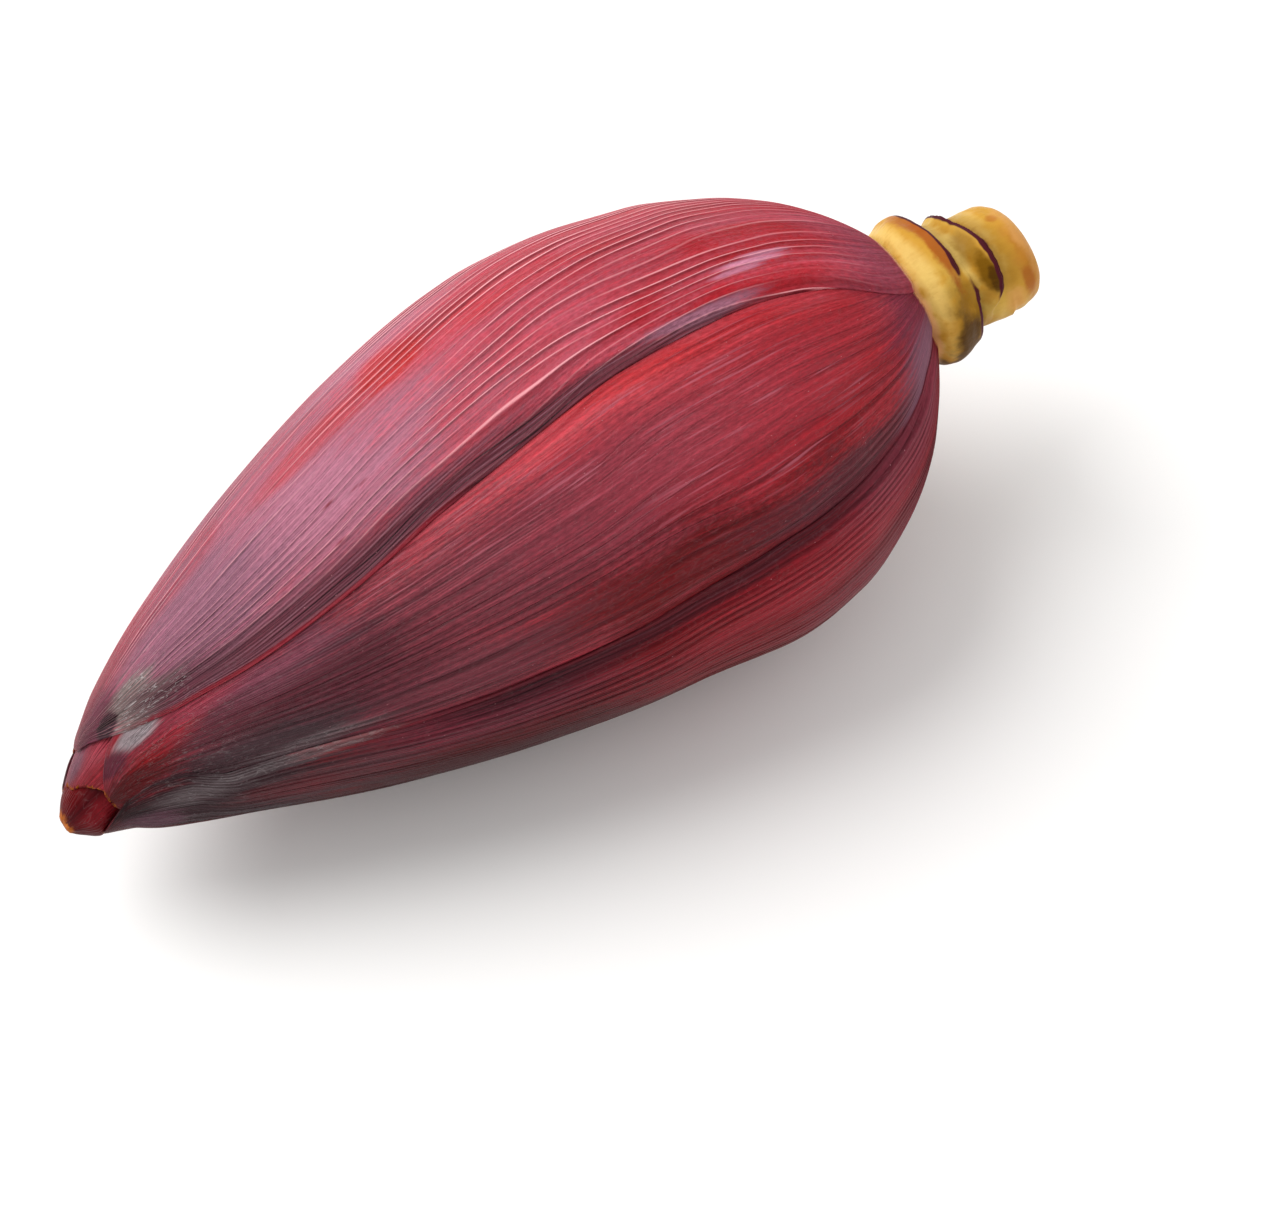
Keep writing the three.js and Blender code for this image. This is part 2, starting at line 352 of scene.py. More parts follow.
# Stations between which the bracts change near the tip.
NEAR_TIP = (185, 200)
INNER_SHOWS = (186, 198)
BOTTOM_CLOSES, CLOSING_DEPTH = (198, 209), 1.3
UPPER_BULGES, UPPER_BULGE = (204, 209), 0.5
BACK_BULGES, BACK_BULGE, BACK_BULGE_ANGLE, BACK_BULGE_WIDTH = (203, 208), 1.1, -78, 30

valley_width_at = curve_through(VALLEY_WIDTH)
top_left_at, top_right_at = curve_through(TOP_BRACT["left"]), curve_through(TOP_BRACT["right"])
bottom_left_at = curve_through(BOTTOM_BRACT["left"])
bottom_right_at = curve_through(BOTTOM_BRACT["right"])


def arc(degrees, radius):
    """The length in mm of an arc."""
    return np.radians(degrees) * radius


# Gentle bulges and hollows of the whole bud: place, reach and height.
BULGES = (
    ((28, 104), (34, 28), 0.55),
    ((140, 102), (30, 22), -0.5),
    ((150, -70), (45, 30), -0.5),
    ((12, -55), (14, 40), 0.6),
)


def bud_radius(station, angle):
    """Radius of the closed bud's skin."""
    bulge = sum(height * mound(station, angle, middle, reach) for middle, reach, height in BULGES)
    return outline_at(station) + bulge


def tucked_depth(layer, station):
    """Depth of a layer's outer side below the closed bud's outline."""
    return layer * (thickness_at(station) + LAYER_GAP)


def sunk_margin(distance, width, station):
    """An outer bract's margin lies down on the bract below it, over this width."""
    drop = thickness_at(station) - MARGIN_THICKNESS
    return drop * (1 - ease(distance, FLAT_VALLEY_SHARE * width, width))


# Each of these gives a bract's depth below the closed outline, and how much of its relief shows,
# from the sheet's station, angle, radius and distances to its margins.


def top_relief(sheet):
    """The top bract sinks along both margins and has one smooth place."""
    front = sunk_margin(sheet.to_right, valley_width_at(sheet.station), sheet.station)
    back = sunk_margin(sheet.to_left, FAR_VALLEY_WIDTH, sheet.station)
    smooth = mound(sheet.station, sheet.angle, SMOOTH_MIDDLE, SMOOTH_REACH)
    return np.maximum(front, back), 1 - SMOOTH_SHARE * smooth


def bottom_relief(sheet):
    """The bottom bract sinks along both margins and closes in at its tip."""
    front_width = LOWER_VALLEY_SHARE * valley_width_at(sheet.station)
    front = sunk_margin(sheet.to_left, front_width, sheet.station)
    back = sunk_margin(sheet.to_right, FAR_VALLEY_WIDTH, sheet.station)
    closing = CLOSING_DEPTH * ease(sheet.station, *BOTTOM_CLOSES)
    return np.maximum(front, back) + closing, np.ones_like(sheet.station)


def between(station, past_first, past_second, crest):
    """A tucked bract swells up between the margins of the two that cover it."""
    nearest = np.minimum(past_first, past_second)
    seen = ease(past_first, *RISE_PAST_MARGIN) * ease(past_second, *RISE_PAST_MARGIN)
    return mix(tucked_depth(1, station), crest, seen), ease(nearest, *RELIEF_PAST_MARGIN)


def front_relief(sheet):
    """The front bract swells up between its neighbours, with a ridge along the top bract."""
    station = sheet.station
    past_top = arc(sheet.angle - top_right_at(station), sheet.radius)
    past_bottom = arc(bottom_left_at(station) - sheet.angle, sheet.radius)
    ridge = RIDGE_HEIGHT * hump(past_top, RIDGE_MIDDLE, RIDGE_WIDTH)
    ridge = ridge * ease(valley_width_at(station), *RIDGE_VALLEYS)
    tip_depth = tucked_depth(1, station) * FRONT_TIP_SHARE
    crest = mix(FRONT_CREST_DEPTH, tip_depth, ease(station, *NEAR_TIP))
    depth, seen = between(station, past_top, past_bottom, crest - ridge)
    return depth, seen * mix(FRONT_TOP_STRENGTH, 1, ease(sheet.angle, *FRONT_STRENGTHENS))


def back_relief(sheet):
    """The back bract swells up between its neighbours on the far side."""
    station = sheet.station
    past_top = arc(top_left_at(station) - sheet.angle, sheet.radius)
    past_bottom = arc(sheet.angle + 360 - bottom_right_at(station), sheet.radius)
    crest = mix(BACK_CREST_DEPTH, BACK_TIP_DEPTH, ease(station, *NEAR_TIP))
    return between(station, past_top, past_bottom, crest)


def upper_inner_relief(sheet):
    """The upper inner bract bulges a little where it shows."""
    bulge = UPPER_BULGE * ease(sheet.station, *UPPER_BULGES)
    return tucked_depth(2, sheet.station) - bulge, ease(sheet.station, *INNER_SHOWS)


def back_inner_relief(sheet):
    """The back inner bract bulges on its far side."""
    far_side = hump(sheet.angle, BACK_BULGE_ANGLE, BACK_BULGE_WIDTH)
    bulge = BACK_BULGE * ease(sheet.station, *BACK_BULGES) * far_side
    return tucked_depth(2, sheet.station) - bulge, ease(sheet.station, *INNER_SHOWS)


ROW_CROWDING, COLUMN_CROWDING = 0.45, 0.1
RIB_HEIGHT = 0.24
RISE_POWER = 1.8
STEEP_SHARE = 0.36
MEAN_PLEAT = 0.4
SWELL_HEIGHT = 0.3
SWELL_START = 6
ROUNDED_SHARE = 0.9
LEAST_THICKNESS = 0.05
BASE_FAN_LENGTH = 20


def rib_lines(along, share, ribs, seed):
    """A count of ribs across the bract, and how strong each rib is along its length."""
    drift = 1.1 * streaks(along, share, (4, ribs // 5), seed)
    drift += 0.2 * streaks(along, share, (11, ribs // 2), seed + 1)
    strength = streaks(along, share, (8, ribs), seed + 2)
    strength += 0.5 * streaks(along, share, (4, 6), seed + 3)
    return share * ribs + drift, ease(strength, -0.9, 0.8) * ease(along, 0.012, 0.1)


def rib_profile(count):
    """Pleats that rise slowly to a crest at each whole count and drop steeply past it."""
    past_crest = count - np.floor(count)
    rising = past_crest**RISE_POWER
    dropping = 1 - ease(past_crest, 0, STEEP_SHARE)
    return np.maximum(rising, dropping) - MEAN_PLEAT


def swell_height(along, share, seed):
    """Broad uneven swells under the ribs."""
    broad = 0.7 * streaks(along, share, (5, 6), seed)
    return broad + 0.3 * streaks(along, share, (7, 20), seed + 1)


def build_bract(shape, relief_of):
    """One bract: its sheet of places between its margins, its relief, and its two sides."""
    rows, columns = shape["grid"]
    seed = shape["seed"] * 10
    along, across = np.meshgrid(
        spread(rows, ROW_CROWDING), spread(columns, COLUMN_CROWDING), indexing="ij")
    torn = shape["torn"] * streaks(along * 0, across, (1, 40), seed)
    end = curve_through(shape["tip_edge"])(across) + torn
    station = mix(BRACT_START, end, along)
    left, right = curve_through(shape["left"])(station), curve_through(shape["right"])(station)
    angle = mix(left, right, across)
    closed = bud_radius(station, angle)
    width = arc(right - left, outline_at(station))
    to_left, to_right = across * width, (1 - across) * width
    to_end = end - station

    fan = shape["base_fan"] * np.exp(-station / BASE_FAN_LENGTH)
    share = across * (1 + fan * (1 - across))
    ribs = round(width.max() / shape["rib_width"])
    count, strength = rib_lines(along, share, ribs, seed + 1)
    narrowing = ease(width / width.max(), 0, 0.7)
    depth, seen = relief_of(SimpleNamespace(
        station=station, angle=angle, radius=closed, to_left=to_left, to_right=to_right))
    nearest = np.minimum(np.minimum(to_left, to_right), to_end)
    rounding = 1 - np.clip(nearest / MARGIN_THICKNESS, 0, 1)
    rounded = MARGIN_THICKNESS * (1 - np.sqrt(1 - rounding**2)) * ROUNDED_SHARE
    swell = SWELL_HEIGHT * swell_height(along, share, seed + 6) * ease(nearest, 0, SWELL_START)
    pleats = shape["pinch"] * RIB_HEIGHT * strength * rib_profile(count)
    relief = seen * narrowing * (swell + pleats)
    inner_radius = closed - tucked_depth(shape["layer"], station) - thickness_at(station)
    radius = np.maximum(closed - depth - rounded + relief, inner_radius + LEAST_THICKNESS)
    outer, inner = place(station, angle, radius), place(station, angle, inner_radius)
    outer[..., 2] = np.maximum(outer[..., 2], FLOOR_GAP)
    inner[..., 2] = np.maximum(inner[..., 2], FLOOR_GAP + MARGIN_THICKNESS)
    attributes = {
        "place": beside(station, angle, strength * seen),
        "leaf": beside(share * width.max(), station, count),
        "margin": beside(to_left, to_right, to_end),
    }
    return shell_piece(shape["node"], outer, inner, attributes)


# ---- Heart ----

HEART_START = 150
HEART_SHOWS = (205, 210)
HEART_TIP = [
    (200, 9), (205, 7.8), (208, 7), (210, 6.5), (211, 6), (213, 4.4), (214.4, 2.9), (215.1, 1.9),
    (215.3, 1.1),
]
HEART_TEARS = (214, 215.4)
HEART_LEAN, HEART_LEAN_ANGLE = 0.7, 110
HEART_LEANS, HEART_STRAIGHTENS = (203, 207), (209, 213)
HEART_GRID = (140, 160)
HEART_GIRTH = 45
HEART_MARGIN = 9


def build_heart():
    """The innermost part: round where the bracts wrap it, then folded, leaning and torn."""
    rows, columns = HEART_GRID
    along, across = np.meshgrid(
        np.linspace(0, 1, rows) ** 0.6, np.linspace(0, 1, columns, endpoint=False), indexing="ij")
    station = mix(HEART_START, HEART_TIP[-1][0], along)
    angle = 360 * across - 180
    wrapped = outline_at(station) - tucked_depth(3, station)
    tip = curve_through(HEART_TIP)(station)
    showing = ease(station, *HEART_SHOWS)
    folds = 0.12 * streaks(along, across, (6, 24), 171) + 0.25 * streaks(along, across, (9, 5), 172)
    torn = 0.35 * ease(station, *HEART_TEARS) * streaks(along, across, (60, 22), 173)
    leaning = ease(station, *HEART_LEANS) * (1 - ease(station, *HEART_STRAIGHTENS))
    lean = HEART_LEAN * np.cos(np.radians(angle - HEART_LEAN_ANGLE)) * leaning
    radius = mix(np.minimum(wrapped, tip), tip + folds + lean, showing) + torn
    points = place(station, angle, radius)
    attributes = {
        "place": beside(station, angle, 0),
        "leaf": beside(across * HEART_GIRTH, station, 0),
        "margin": beside(HEART_MARGIN, HEART_MARGIN, HEART_TIP[-1][0] - station),
    }
    return turned_piece("heart", points, attributes)


# ---- Stem ----
# A height is the distance from the bud's base towards the cut end. A scar is the rim that a
# fallen bract has left: its height and how far it stands out, at each angle.

STEM_PROFILE = [
    (-3, 11), (-1, 13.4), (0.4, 14.9), (2, 16.3), (5, 17), (9, 15.2), (12, 13), (14, 12.3),
    (17, 12.6), (22, 12.7), (25.5, 12.2), (27.5, 11.4), (28.9, 10), (29.8, 7.8), (30.3, 5),
    (30.5, 2),
]
STEM_OFFSET = [
    (-3, 0.5), (2, 2.4), (9, 2.1), (12, 2.6), (14, 2.9), (17, 2.6), (22, 2.7), (31, 2.5),
]
STEM_OFFSET_ANGLE = 119
STEM_GRID = (230, 300)
STEM_SCARS = (
    dict(height=[(-180, 6.5), (-110, 7), (-60, 8.8), (-20, 9.8), (10, 10.6), (42, 9.8), (80, 7.5),
                 (180, 6.5)],
         stand=[(-180, 1), (-110, 1.8), (-20, 2), (20, 1.6), (38, 0.6), (50, 0), (150, 0),
                (180, 1)]),
    dict(height=[(-180, 10), (15, 11.2), (40, 11.9), (60, 12), (80, 11.2), (100, 10.7),
                 (130, 11.2), (180, 10)],
         stand=[(-180, 0.7), (-140, 0), (15, 0), (40, 0.25), (62, 0.6), (80, 1.6), (125, 1.7),
                (180, 0.7)]),
    dict(height=[(-180, 14.5), (-90, 15.5), (-10, 16.9), (10, 18.4), (35, 19), (58, 18.6),
                 (74, 17.6), (95, 14.5), (180, 14.5)],
         stand=[(-180, 0), (-130, 1.8), (-60, 2.7), (-10, 2.2), (40, 1.5), (66, 0.9), (80, 0.4),
                (100, 0.2), (115, 0), (180, 0)]),
    dict(height=[(-180, 22), (80, 20), (120, 20.5), (180, 22)],
         stand=[(-180, 0.5), (-130, 0), (72, 0), (95, 0.2), (130, 0.5), (180, 0.5)]),
)
SCAR_RISE, SCAR_DROP = 4.2, 0.45
SCAR_RAGGED = 0.14
GROOVE_DEPTH = 0.35
LUMPS_BEFORE, LUMPS_LENGTH = 5, 40


def scar_relief(height, angle, scar):
    """The stem swells towards the bud's side of a scar and drops away sharply beyond it."""
    ragged = SCAR_RAGGED * streaks(np.zeros_like(angle), (angle + 180) / 360, (1, 70), 181)
    past = height - curve_through(scar["height"])(angle) - ragged
    stand = curve_through(scar["stand"])(angle)
    swelling = np.where(past < 0, np.exp(past / SCAR_RISE), np.exp(-((past / SCAR_DROP) ** 2)))
    groove = GROOVE_DEPTH * hump(past, 1.1, 0.8)
    rim = hump(past, 0.2, 0.75) * ease(stand, 0.1, 1.2)
    # Painted shade: a mask for the dip just past the rim, where the stem's colour is darkened.
    hollow_shade = ease(past, -0.2, 0.6) * (1 - ease(past, 2.5, 7)) * ease(stand, 0.2, 0.9)
    return stand * (swelling - groove), rim, hollow_shade


def build_stem():
    """The stem from inside the bud to its cut end, with its scars, lumps and lean."""
    rows, columns = STEM_GRID
    profile = np.array(STEM_PROFILE)
    lengths = np.append(0, np.cumsum(np.hypot(*np.diff(profile, axis=0).T)))
    along, across = np.meshgrid(
        np.linspace(lengths[-1], 0, rows), np.linspace(0, 1, columns, endpoint=False),
        indexing="ij")
    height, radius = (curve_through(beside(lengths, column))(along) for column in profile.T)
    angle = 360 * across - 180
    scars = [scar_relief(height, angle, scar) for scar in STEM_SCARS]
    relief, rim, hollow_shade = (sum(scar[k] for scar in scars) for k in range(3))
    along_stem = (height + LUMPS_BEFORE) / LUMPS_LENGTH
    lumps = 0.35 * streaks(along_stem, across, (9, 9), 182)
    lumps += 0.12 * streaks(along_stem, across, (22, 30), 183)
    full = ease(radius, 2, 11)
    offset = curve_through(STEM_OFFSET)(height) * np.cos(np.radians(angle - STEM_OFFSET_ANGLE))
    points = place(-height, angle, radius + full * (relief + lumps + offset))
    turn = np.radians(angle)
    attributes = {
        "place": beside(-height, angle, 0),
        "leaf": beside(radius * np.sin(turn), height, radius * np.cos(turn)),
        "scar": beside(rim, hollow_shade, 0),
    }
    return turned_piece("stem", points, attributes)


# ---- Node wiring ----


class Wiring:
    """Adds nodes to one node tree. A source is another node's socket or a plain value."""

    def __init__(self, tree):
        self.tree = tree

    def feed(self, socket, source):
        """Links a node's socket to this one, or sets a plain value on it."""
        if isinstance(source, bpy.types.NodeSocket):
            self.tree.links.new(source, socket)
        else:
            socket.default_value = source

    def add(self, kind, sources=(), **settings):
        """A new node with these settings, and with its input sockets fed."""
        node = self.tree.nodes.new(kind)
        for key, value in settings.items():
            setattr(node, key, value)
        for key, source in dict(sources).items():
            self.feed(node.inputs[key], source)
        return node

    def math(self, operation, *values):
        return self.add("ShaderNodeMath", enumerate(values), operation=operation).outputs[0]

    def product(self, first, *others):
        for other in others:
            first = self.math("MULTIPLY", first, other)
        return first

    def total(self, first, *others):
        for other in others:
            first = self.math("ADD", first, other)
        return first

    def larger(self, first, second):
        return self.math("MAXIMUM", first, second)

    def rest_of(self, whole, part):
        return self.math("SUBTRACT", whole, part)

    def centred(self, noise, strength):
        """Noise moved to lie evenly about zero."""
        return self.product(self.rest_of(noise, 0.5), strength)

    def vector_math(self, operation, *values):
        return self.add("ShaderNodeVectorMath", enumerate(values), operation=operation).outputs[0]

    def stretched(self, vector, factors):
        """A place scaled along each axis, which draws out the noise on it."""
        return self.vector_math("MULTIPLY", vector, factors)

    def level(self, value, low, high, bottom=0.0, top=1.0):
        """Goes smoothly from bottom, where the value is low, to top, where it is high."""
        limits = dict(enumerate((value, low, high, bottom, top)))
        return self.add("ShaderNodeMapRange", limits, interpolation_type="SMOOTHSTEP").outputs[0]

    def tint(self, mask, factor):
        """1 where the mask is 0, and this factor where it is 1."""
        return self.level(mask, 0.0, 1.0, 1.0, factor)

    def blend(self, share, first, second):
        """From the first colour where the share is 0 to the second where it is 1."""
        sources = {0: share, 6: first, 7: second}
        return self.add("ShaderNodeMix", sources, data_type="RGBA").outputs[2]

    def lay(self, colour, over, *shares):
        """The colour with another laid over it, in the product of these shares."""
        return self.blend(self.product(*shares), colour, over)

    def scaled(self, colour, factor):
        """The colour made lighter or darker."""
        sources = {0: colour, 3: factor}
        return self.add("ShaderNodeVectorMath", sources, operation="SCALE").outputs[0]

    def combine(self, x, y, z):
        return self.add("ShaderNodeCombineXYZ", enumerate((x, y, z))).outputs[0]

    def split(self, vector):
        return self.add("ShaderNodeSeparateXYZ", {0: vector}).outputs

    def attribute(self, name):
        return self.add("ShaderNodeAttribute", attribute_name=name).outputs["Vector"]

    def noise(self, vector, scale=1.0, detail=2.0, distortion=0.0):
        sources = {"Vector": vector, "Scale": scale, "Detail": detail, "Distortion": distortion}
        return self.add("ShaderNodeTexNoise", sources).outputs[0]

    def group(self, name, **sources):
        """The outputs of a shared effect, placed here with its own values."""
        tree = bpy.data.node_groups[name]
        node = self.add("ShaderNodeGroup", node_tree=tree)
        for key, source in sources.items():
            self.feed(node.inputs[key], source)
        return node.outputs

    def lines(self, kind, leaf, spacing, length, seed):
        """Streaks or veins along the bract."""
        return self.group(kind, Leaf=leaf, Spacing=spacing, Length=length, Seed=seed)

    def bump(self, shader, height, distance):
        """Feeds this height to the shader's normal."""
        node = self.add("ShaderNodeBump", {"Height": height, "Distance": distance})
        self.feed(shader.inputs["Normal"], node.outputs[0])


# ---- Effects that several finishes share ----
# Each is built once as a node group. Its function takes the group's inputs and gives its outputs.

VEIN_WANDER_WIDTH = 7.0
VEIN_WANDER = 5.0


def ribs_effect(wiring, count, strength, width):
    """The thin crest line of each rib, the shade just past it, and the trough between ribs."""
    past_crest = wiring.math("FRACT", count)
    off_crest = wiring.math("PINGPONG", count, 0.5)
    masks = {
        "Crest": wiring.level(off_crest, width, 0.02),
        "Shade": wiring.product(
            wiring.level(past_crest, 0.04, 0.12), wiring.level(past_crest, 0.6, 0.12)),
        "Trough": wiring.level(off_crest, 0.2, 0.5),
    }
    return {name: wiring.product(mask, strength) for name, mask in masks.items()}


def streaks_effect(wiring, leaf, spacing, length, seed):
    """Noise drawn out along the bract, Spacing apart and about Length long."""
    across, along = wiring.split(leaf)[:2]
    drawn = wiring.combine(
        wiring.math("DIVIDE", across, spacing), wiring.math("DIVIDE", along, length), seed)
    return {"Value": wiring.noise(drawn, detail=1.5)}


def veins_effect(wiring, leaf, spacing, length, seed):
    """Fine lines side by side along the bract, Spacing apart, that wander and fade."""
    wide = wiring.product(spacing, VEIN_WANDER_WIDTH)
    wander = wiring.lines("streaks", leaf, wide, length, seed)["Value"]
    own = wiring.lines("streaks", leaf, spacing, length, wiring.total(seed, 7.3))["Value"]
    across = wiring.math("DIVIDE", wiring.split(leaf)[0], spacing)
    count = wiring.total(across, wiring.product(wander, VEIN_WANDER))
    off_line = wiring.math("PINGPONG", count, 0.5)
    strength = wiring.level(own, 0.38, 0.62)
    light = wiring.level(off_line, 0.22, 0.04)
    dark = wiring.level(off_line, 0.3, 0.48)
    return {
        "Light": wiring.product(light, strength),
        "Dark": wiring.product(dark, wiring.rest_of(1.15, strength)),
        "Height": wiring.rest_of(0.5, off_line),
    }


def patch_effect(wiring, place, centre, reach, softness, stray):
    """A soft round patch on the bud. Reach is its half size in mm and degrees."""
    offset = wiring.vector_math("SUBTRACT", place, centre)
    flat = wiring.stretched(wiring.vector_math("DIVIDE", offset, reach), (1, 1, 0))
    length = wiring.add("ShaderNodeVectorMath", {0: flat}, operation="LENGTH").outputs["Value"]
    inside = wiring.rest_of(1.0, softness)
    outside = wiring.total(1.0, softness)
    return {"Mask": wiring.level(wiring.total(length, stray), outside, inside)}


def bloom_effect(wiring, leaf, cover):
    """Where the pale waxy bloom lies: mottled, and wiped off in fine lines along the ribs."""
    mottle = wiring.noise(wiring.stretched(leaf, (1, 1, 0)), scale=0.9)
    smear = wiring.lines("streaks", leaf, spacing=1.3, length=60.0, seed=3.0)["Value"]
    wiped = wiring.lines("veins", leaf, spacing=1.7, length=90.0, seed=9.0)["Light"]
    worn = wiring.total(wiring.level(mottle, 0.3, 0.6), wiring.level(smear, 0.3, 0.62))
    kept = wiring.product(cover, worn, 0.6, wiring.tint(wiped, 0.45))
    return {"Mask": wiring.math("MINIMUM", kept, 1.0)}


def specks_effect(wiring, leaf, spacing, size, share):
    """Sparse tiny specks. Share is how many of the cells hold one."""
    spot = wiring.vector_math("DIVIDE", leaf, wiring.combine(spacing, spacing, spacing))
    drawn = wiring.stretched(spot, (1, 0.6, 1))
    cells = wiring.add("ShaderNodeTexVoronoi", {"Vector": drawn, "Scale": 1.0})
    near = wiring.level(cells.outputs["Distance"], size, 0.0)
    chosen = wiring.math("LESS_THAN", wiring.split(cells.outputs["Color"])[0], share)
    return {"Mask": wiring.product(near, chosen)}


def scuffs_effect(wiring, leaf, spacing):
    """Curly crumpled lines, as on skin that has dried and been rubbed."""
    spot = wiring.vector_math("DIVIDE", leaf, wiring.combine(spacing, spacing, spacing))
    curls = wiring.noise(wiring.stretched(spot, (1, 0.45, 0)), detail=3.0, distortion=1.6)
    off_line = wiring.math("ABSOLUTE", wiring.rest_of(curls, 0.5))
    return {"Mask": wiring.level(off_line, 0.03, 0.0)}


VECTOR_INPUTS = ("Leaf", "Place", "Centre", "Reach")
LINE_INPUTS = ("Leaf", "Spacing", "Length", "Seed")
SHARED_EFFECTS = (
    ("ribs", ribs_effect, ("Count", "Strength", "Width")),
    ("streaks", streaks_effect, LINE_INPUTS),
    ("veins", veins_effect, LINE_INPUTS),
    ("patch", patch_effect, ("Place", "Centre", "Reach", "Softness", "Stray")),
    ("waxy bloom", bloom_effect, ("Leaf", "Cover")),
    ("specks", specks_effect, ("Leaf", "Spacing", "Size", "Share")),
    ("scuffs", scuffs_effect, ("Leaf", "Spacing")),
)


def make_group(name, effect, inputs):
    """A node group with these named inputs that puts out what the effect's function gives."""
    tree = bpy.data.node_groups.new(name, "ShaderNodeTree")
    for socket in inputs:
        kind = "NodeSocketVector" if socket in VECTOR_INPUTS else "NodeSocketFloat"
        tree.interface.new_socket(socket, in_out="INPUT", socket_type=kind)
    wiring = Wiring(tree)
    given = wiring.add("NodeGroupInput").outputs
    results = effect(wiring, *(given[socket] for socket in inputs))
    for socket in results:
        tree.interface.new_socket(socket, in_out="OUTPUT", socket_type="NodeSocketFloat")
    wiring.add("NodeGroupOutput", results)


# ---- Colours ----


def paint(red, green, blue):
    """A colour from its 0 to 255 values."""
    steps = np.array([red, green, blue]) / 255
    linear = np.where(steps <= 0.04045, steps / 12.92, ((steps + 0.055) / 1.055) ** 2.4)
    return (*linear.tolist(), 1)


ROSE = paint(160, 38, 48)
PINK_AND_HIGHLIGHT = paint(168, 62, 76)
MAUVE_AND_SHEEN = paint(152, 85, 102)
LILAC_BLOOM_AND_SHEEN = paint(160, 102, 122)
BRIGHT_RED = paint(172, 30, 26)
RIDGE_RED = paint(172, 54, 62)
CRIMSON = paint(146, 34, 44)
DEEP_RED = paint(92, 4, 8)
HEART_RED = paint(90, 4, 10)
HEART_DARK = paint(62, 2, 8)
TIP_ROSE = paint(134, 48, 62)
DEEP_ROSE = paint(156, 12, 22)
FRESH_RED = paint(148, 16, 26)
PURPLE_ROSE = paint(122, 44, 62)
GREY_LILAC = paint(150, 112, 134)
BASE_PURPLE = paint(104, 36, 58)
PLUM = paint(92, 34, 52)
BASE_MAUVE = paint(128, 54, 68)
DULL_MAUVE = paint(126, 84, 102)
SHADE_BROWN = paint(62, 18, 20)
MAUVE_RED = paint(150, 54, 66)
DEEP_WINE = paint(84, 16, 24)
WINE = paint(118, 22, 32)
MAUVE_BROWN = paint(126, 46, 58)
PURPLE_BROWN = paint(84, 34, 44)
DEEP_PURPLE = paint(76, 32, 42)
PURPLE_GREY = paint(112, 72, 88)
DULL_PLUM = paint(108, 58, 74)
DUSK_BROWN = paint(70, 48, 52)
DULL_BROWN = paint(108, 48, 58)
GREY_BROWN = paint(54, 40, 44)
FURROW_SKIN_AND_SHADE = paint(78, 38, 48)
DARK_FURROW_SKIN_AND_SHADE = paint(60, 22, 30)
FURROW_LINE = paint(150, 104, 118)
SATIN = paint(186, 122, 146)
SILVER = paint(142, 132, 134)
SCUFF_GREY = paint(126, 122, 114)
NEAR_BLACK = paint(24, 12, 16)
PALE_SCUFF = paint(186, 176, 176)
PALE_AND_HIGHLIGHT = paint(240, 168, 174)
FAR_SIDE_SHADE_RED = paint(168, 22, 46)
NICK_RED = paint(112, 24, 40)
PALE_STREAK = paint(186, 100, 116)
SILVER_WHITE = paint(160, 152, 156)
VEIN_DARK = paint(48, 4, 12)
TORN_ORANGE = paint(196, 106, 24)
CREAM = paint(232, 178, 128)
LIP_RED = paint(130, 30, 42)
RUBBED_COLOURS = (SILVER, SILVER_WHITE, SCUFF_GREY)

# A patch is a colour, its centre (station, angle), its reach (mm, degrees), how soft its rim
# is, and its strength. Later patches lie over earlier ones.

# On the top bract the lilac and mauve patches are partly painted sheen, the lamp's reflection on
# the waxy bloom.
TOP_PATCHES = (
    (PINK_AND_HIGHLIGHT, (100, -2), (42, 17), 0.6, 0.8),
    (MAUVE_AND_SHEEN, (160, -10), (55, 34), 0.35, 0.9),
    (DULL_MAUVE, (140, -62), (75, 26), 0.5, 0.6),
    (LILAC_BLOOM_AND_SHEEN, (142, -6), (26, 14), 0.6, 0.8),
    (LILAC_BLOOM_AND_SHEEN, (108, -44), (20, 8), 0.6, 0.8),
    (BRIGHT_RED, (92, -25), (32, 6), 0.5, 0.4),
    (CRIMSON, (48, -12), (34, 14), 0.6, 0.5),
    (BRIGHT_RED, (109, -29), (8, 8), 0.3, 0.95),
    (BRIGHT_RED, (131, -25), (16, 5), 0.4, 0.5),
    (ROSE, (170, -36), (14, 12), 0.25, 0.75),
    (DEEP_ROSE, (27, -8), (17, 8), 0.5, 0.85),
    (DEEP_ROSE, (42, 4), (24, 7), 0.5, 0.6),
    (SATIN, (31, -3.2), (6, 1), 0.4, 0.8),
    (SATIN, (35, -1.4), (9, 1.2), 0.4, 0.85),
    (SATIN, (40, 0.6), (6, 0.8), 0.4, 0.7),
    (GREY_LILAC, (53, 7.8), (13, 1.7), 0.4, 0.7),
    (PURPLE_ROSE, (0, 6), (14, 34), 0.6, 0.85),
    (DULL_MAUVE, (172, -6), (20, 26), 0.5, 0.8),
    (DULL_MAUVE, (178, -46), (26, 14), 0.6, 0.5),
    (CRIMSON, (192, -58), (16, 26), 0.5, 0.7),
    (PLUM, (199, -20), (7, 24), 0.35, 0.9),
    (TIP_ROSE, (196, -42), (12, 10), 0.5, 0.5),
    (SCUFF_GREY, (191, 2), (7, 16), 0.4, 0.85),
    (SCUFF_GREY, (188, 10), (9, 6), 0.4, 0.6),
    (NEAR_BLACK, (197.6, -5), (3, 8), 0.2, 1.0),
)
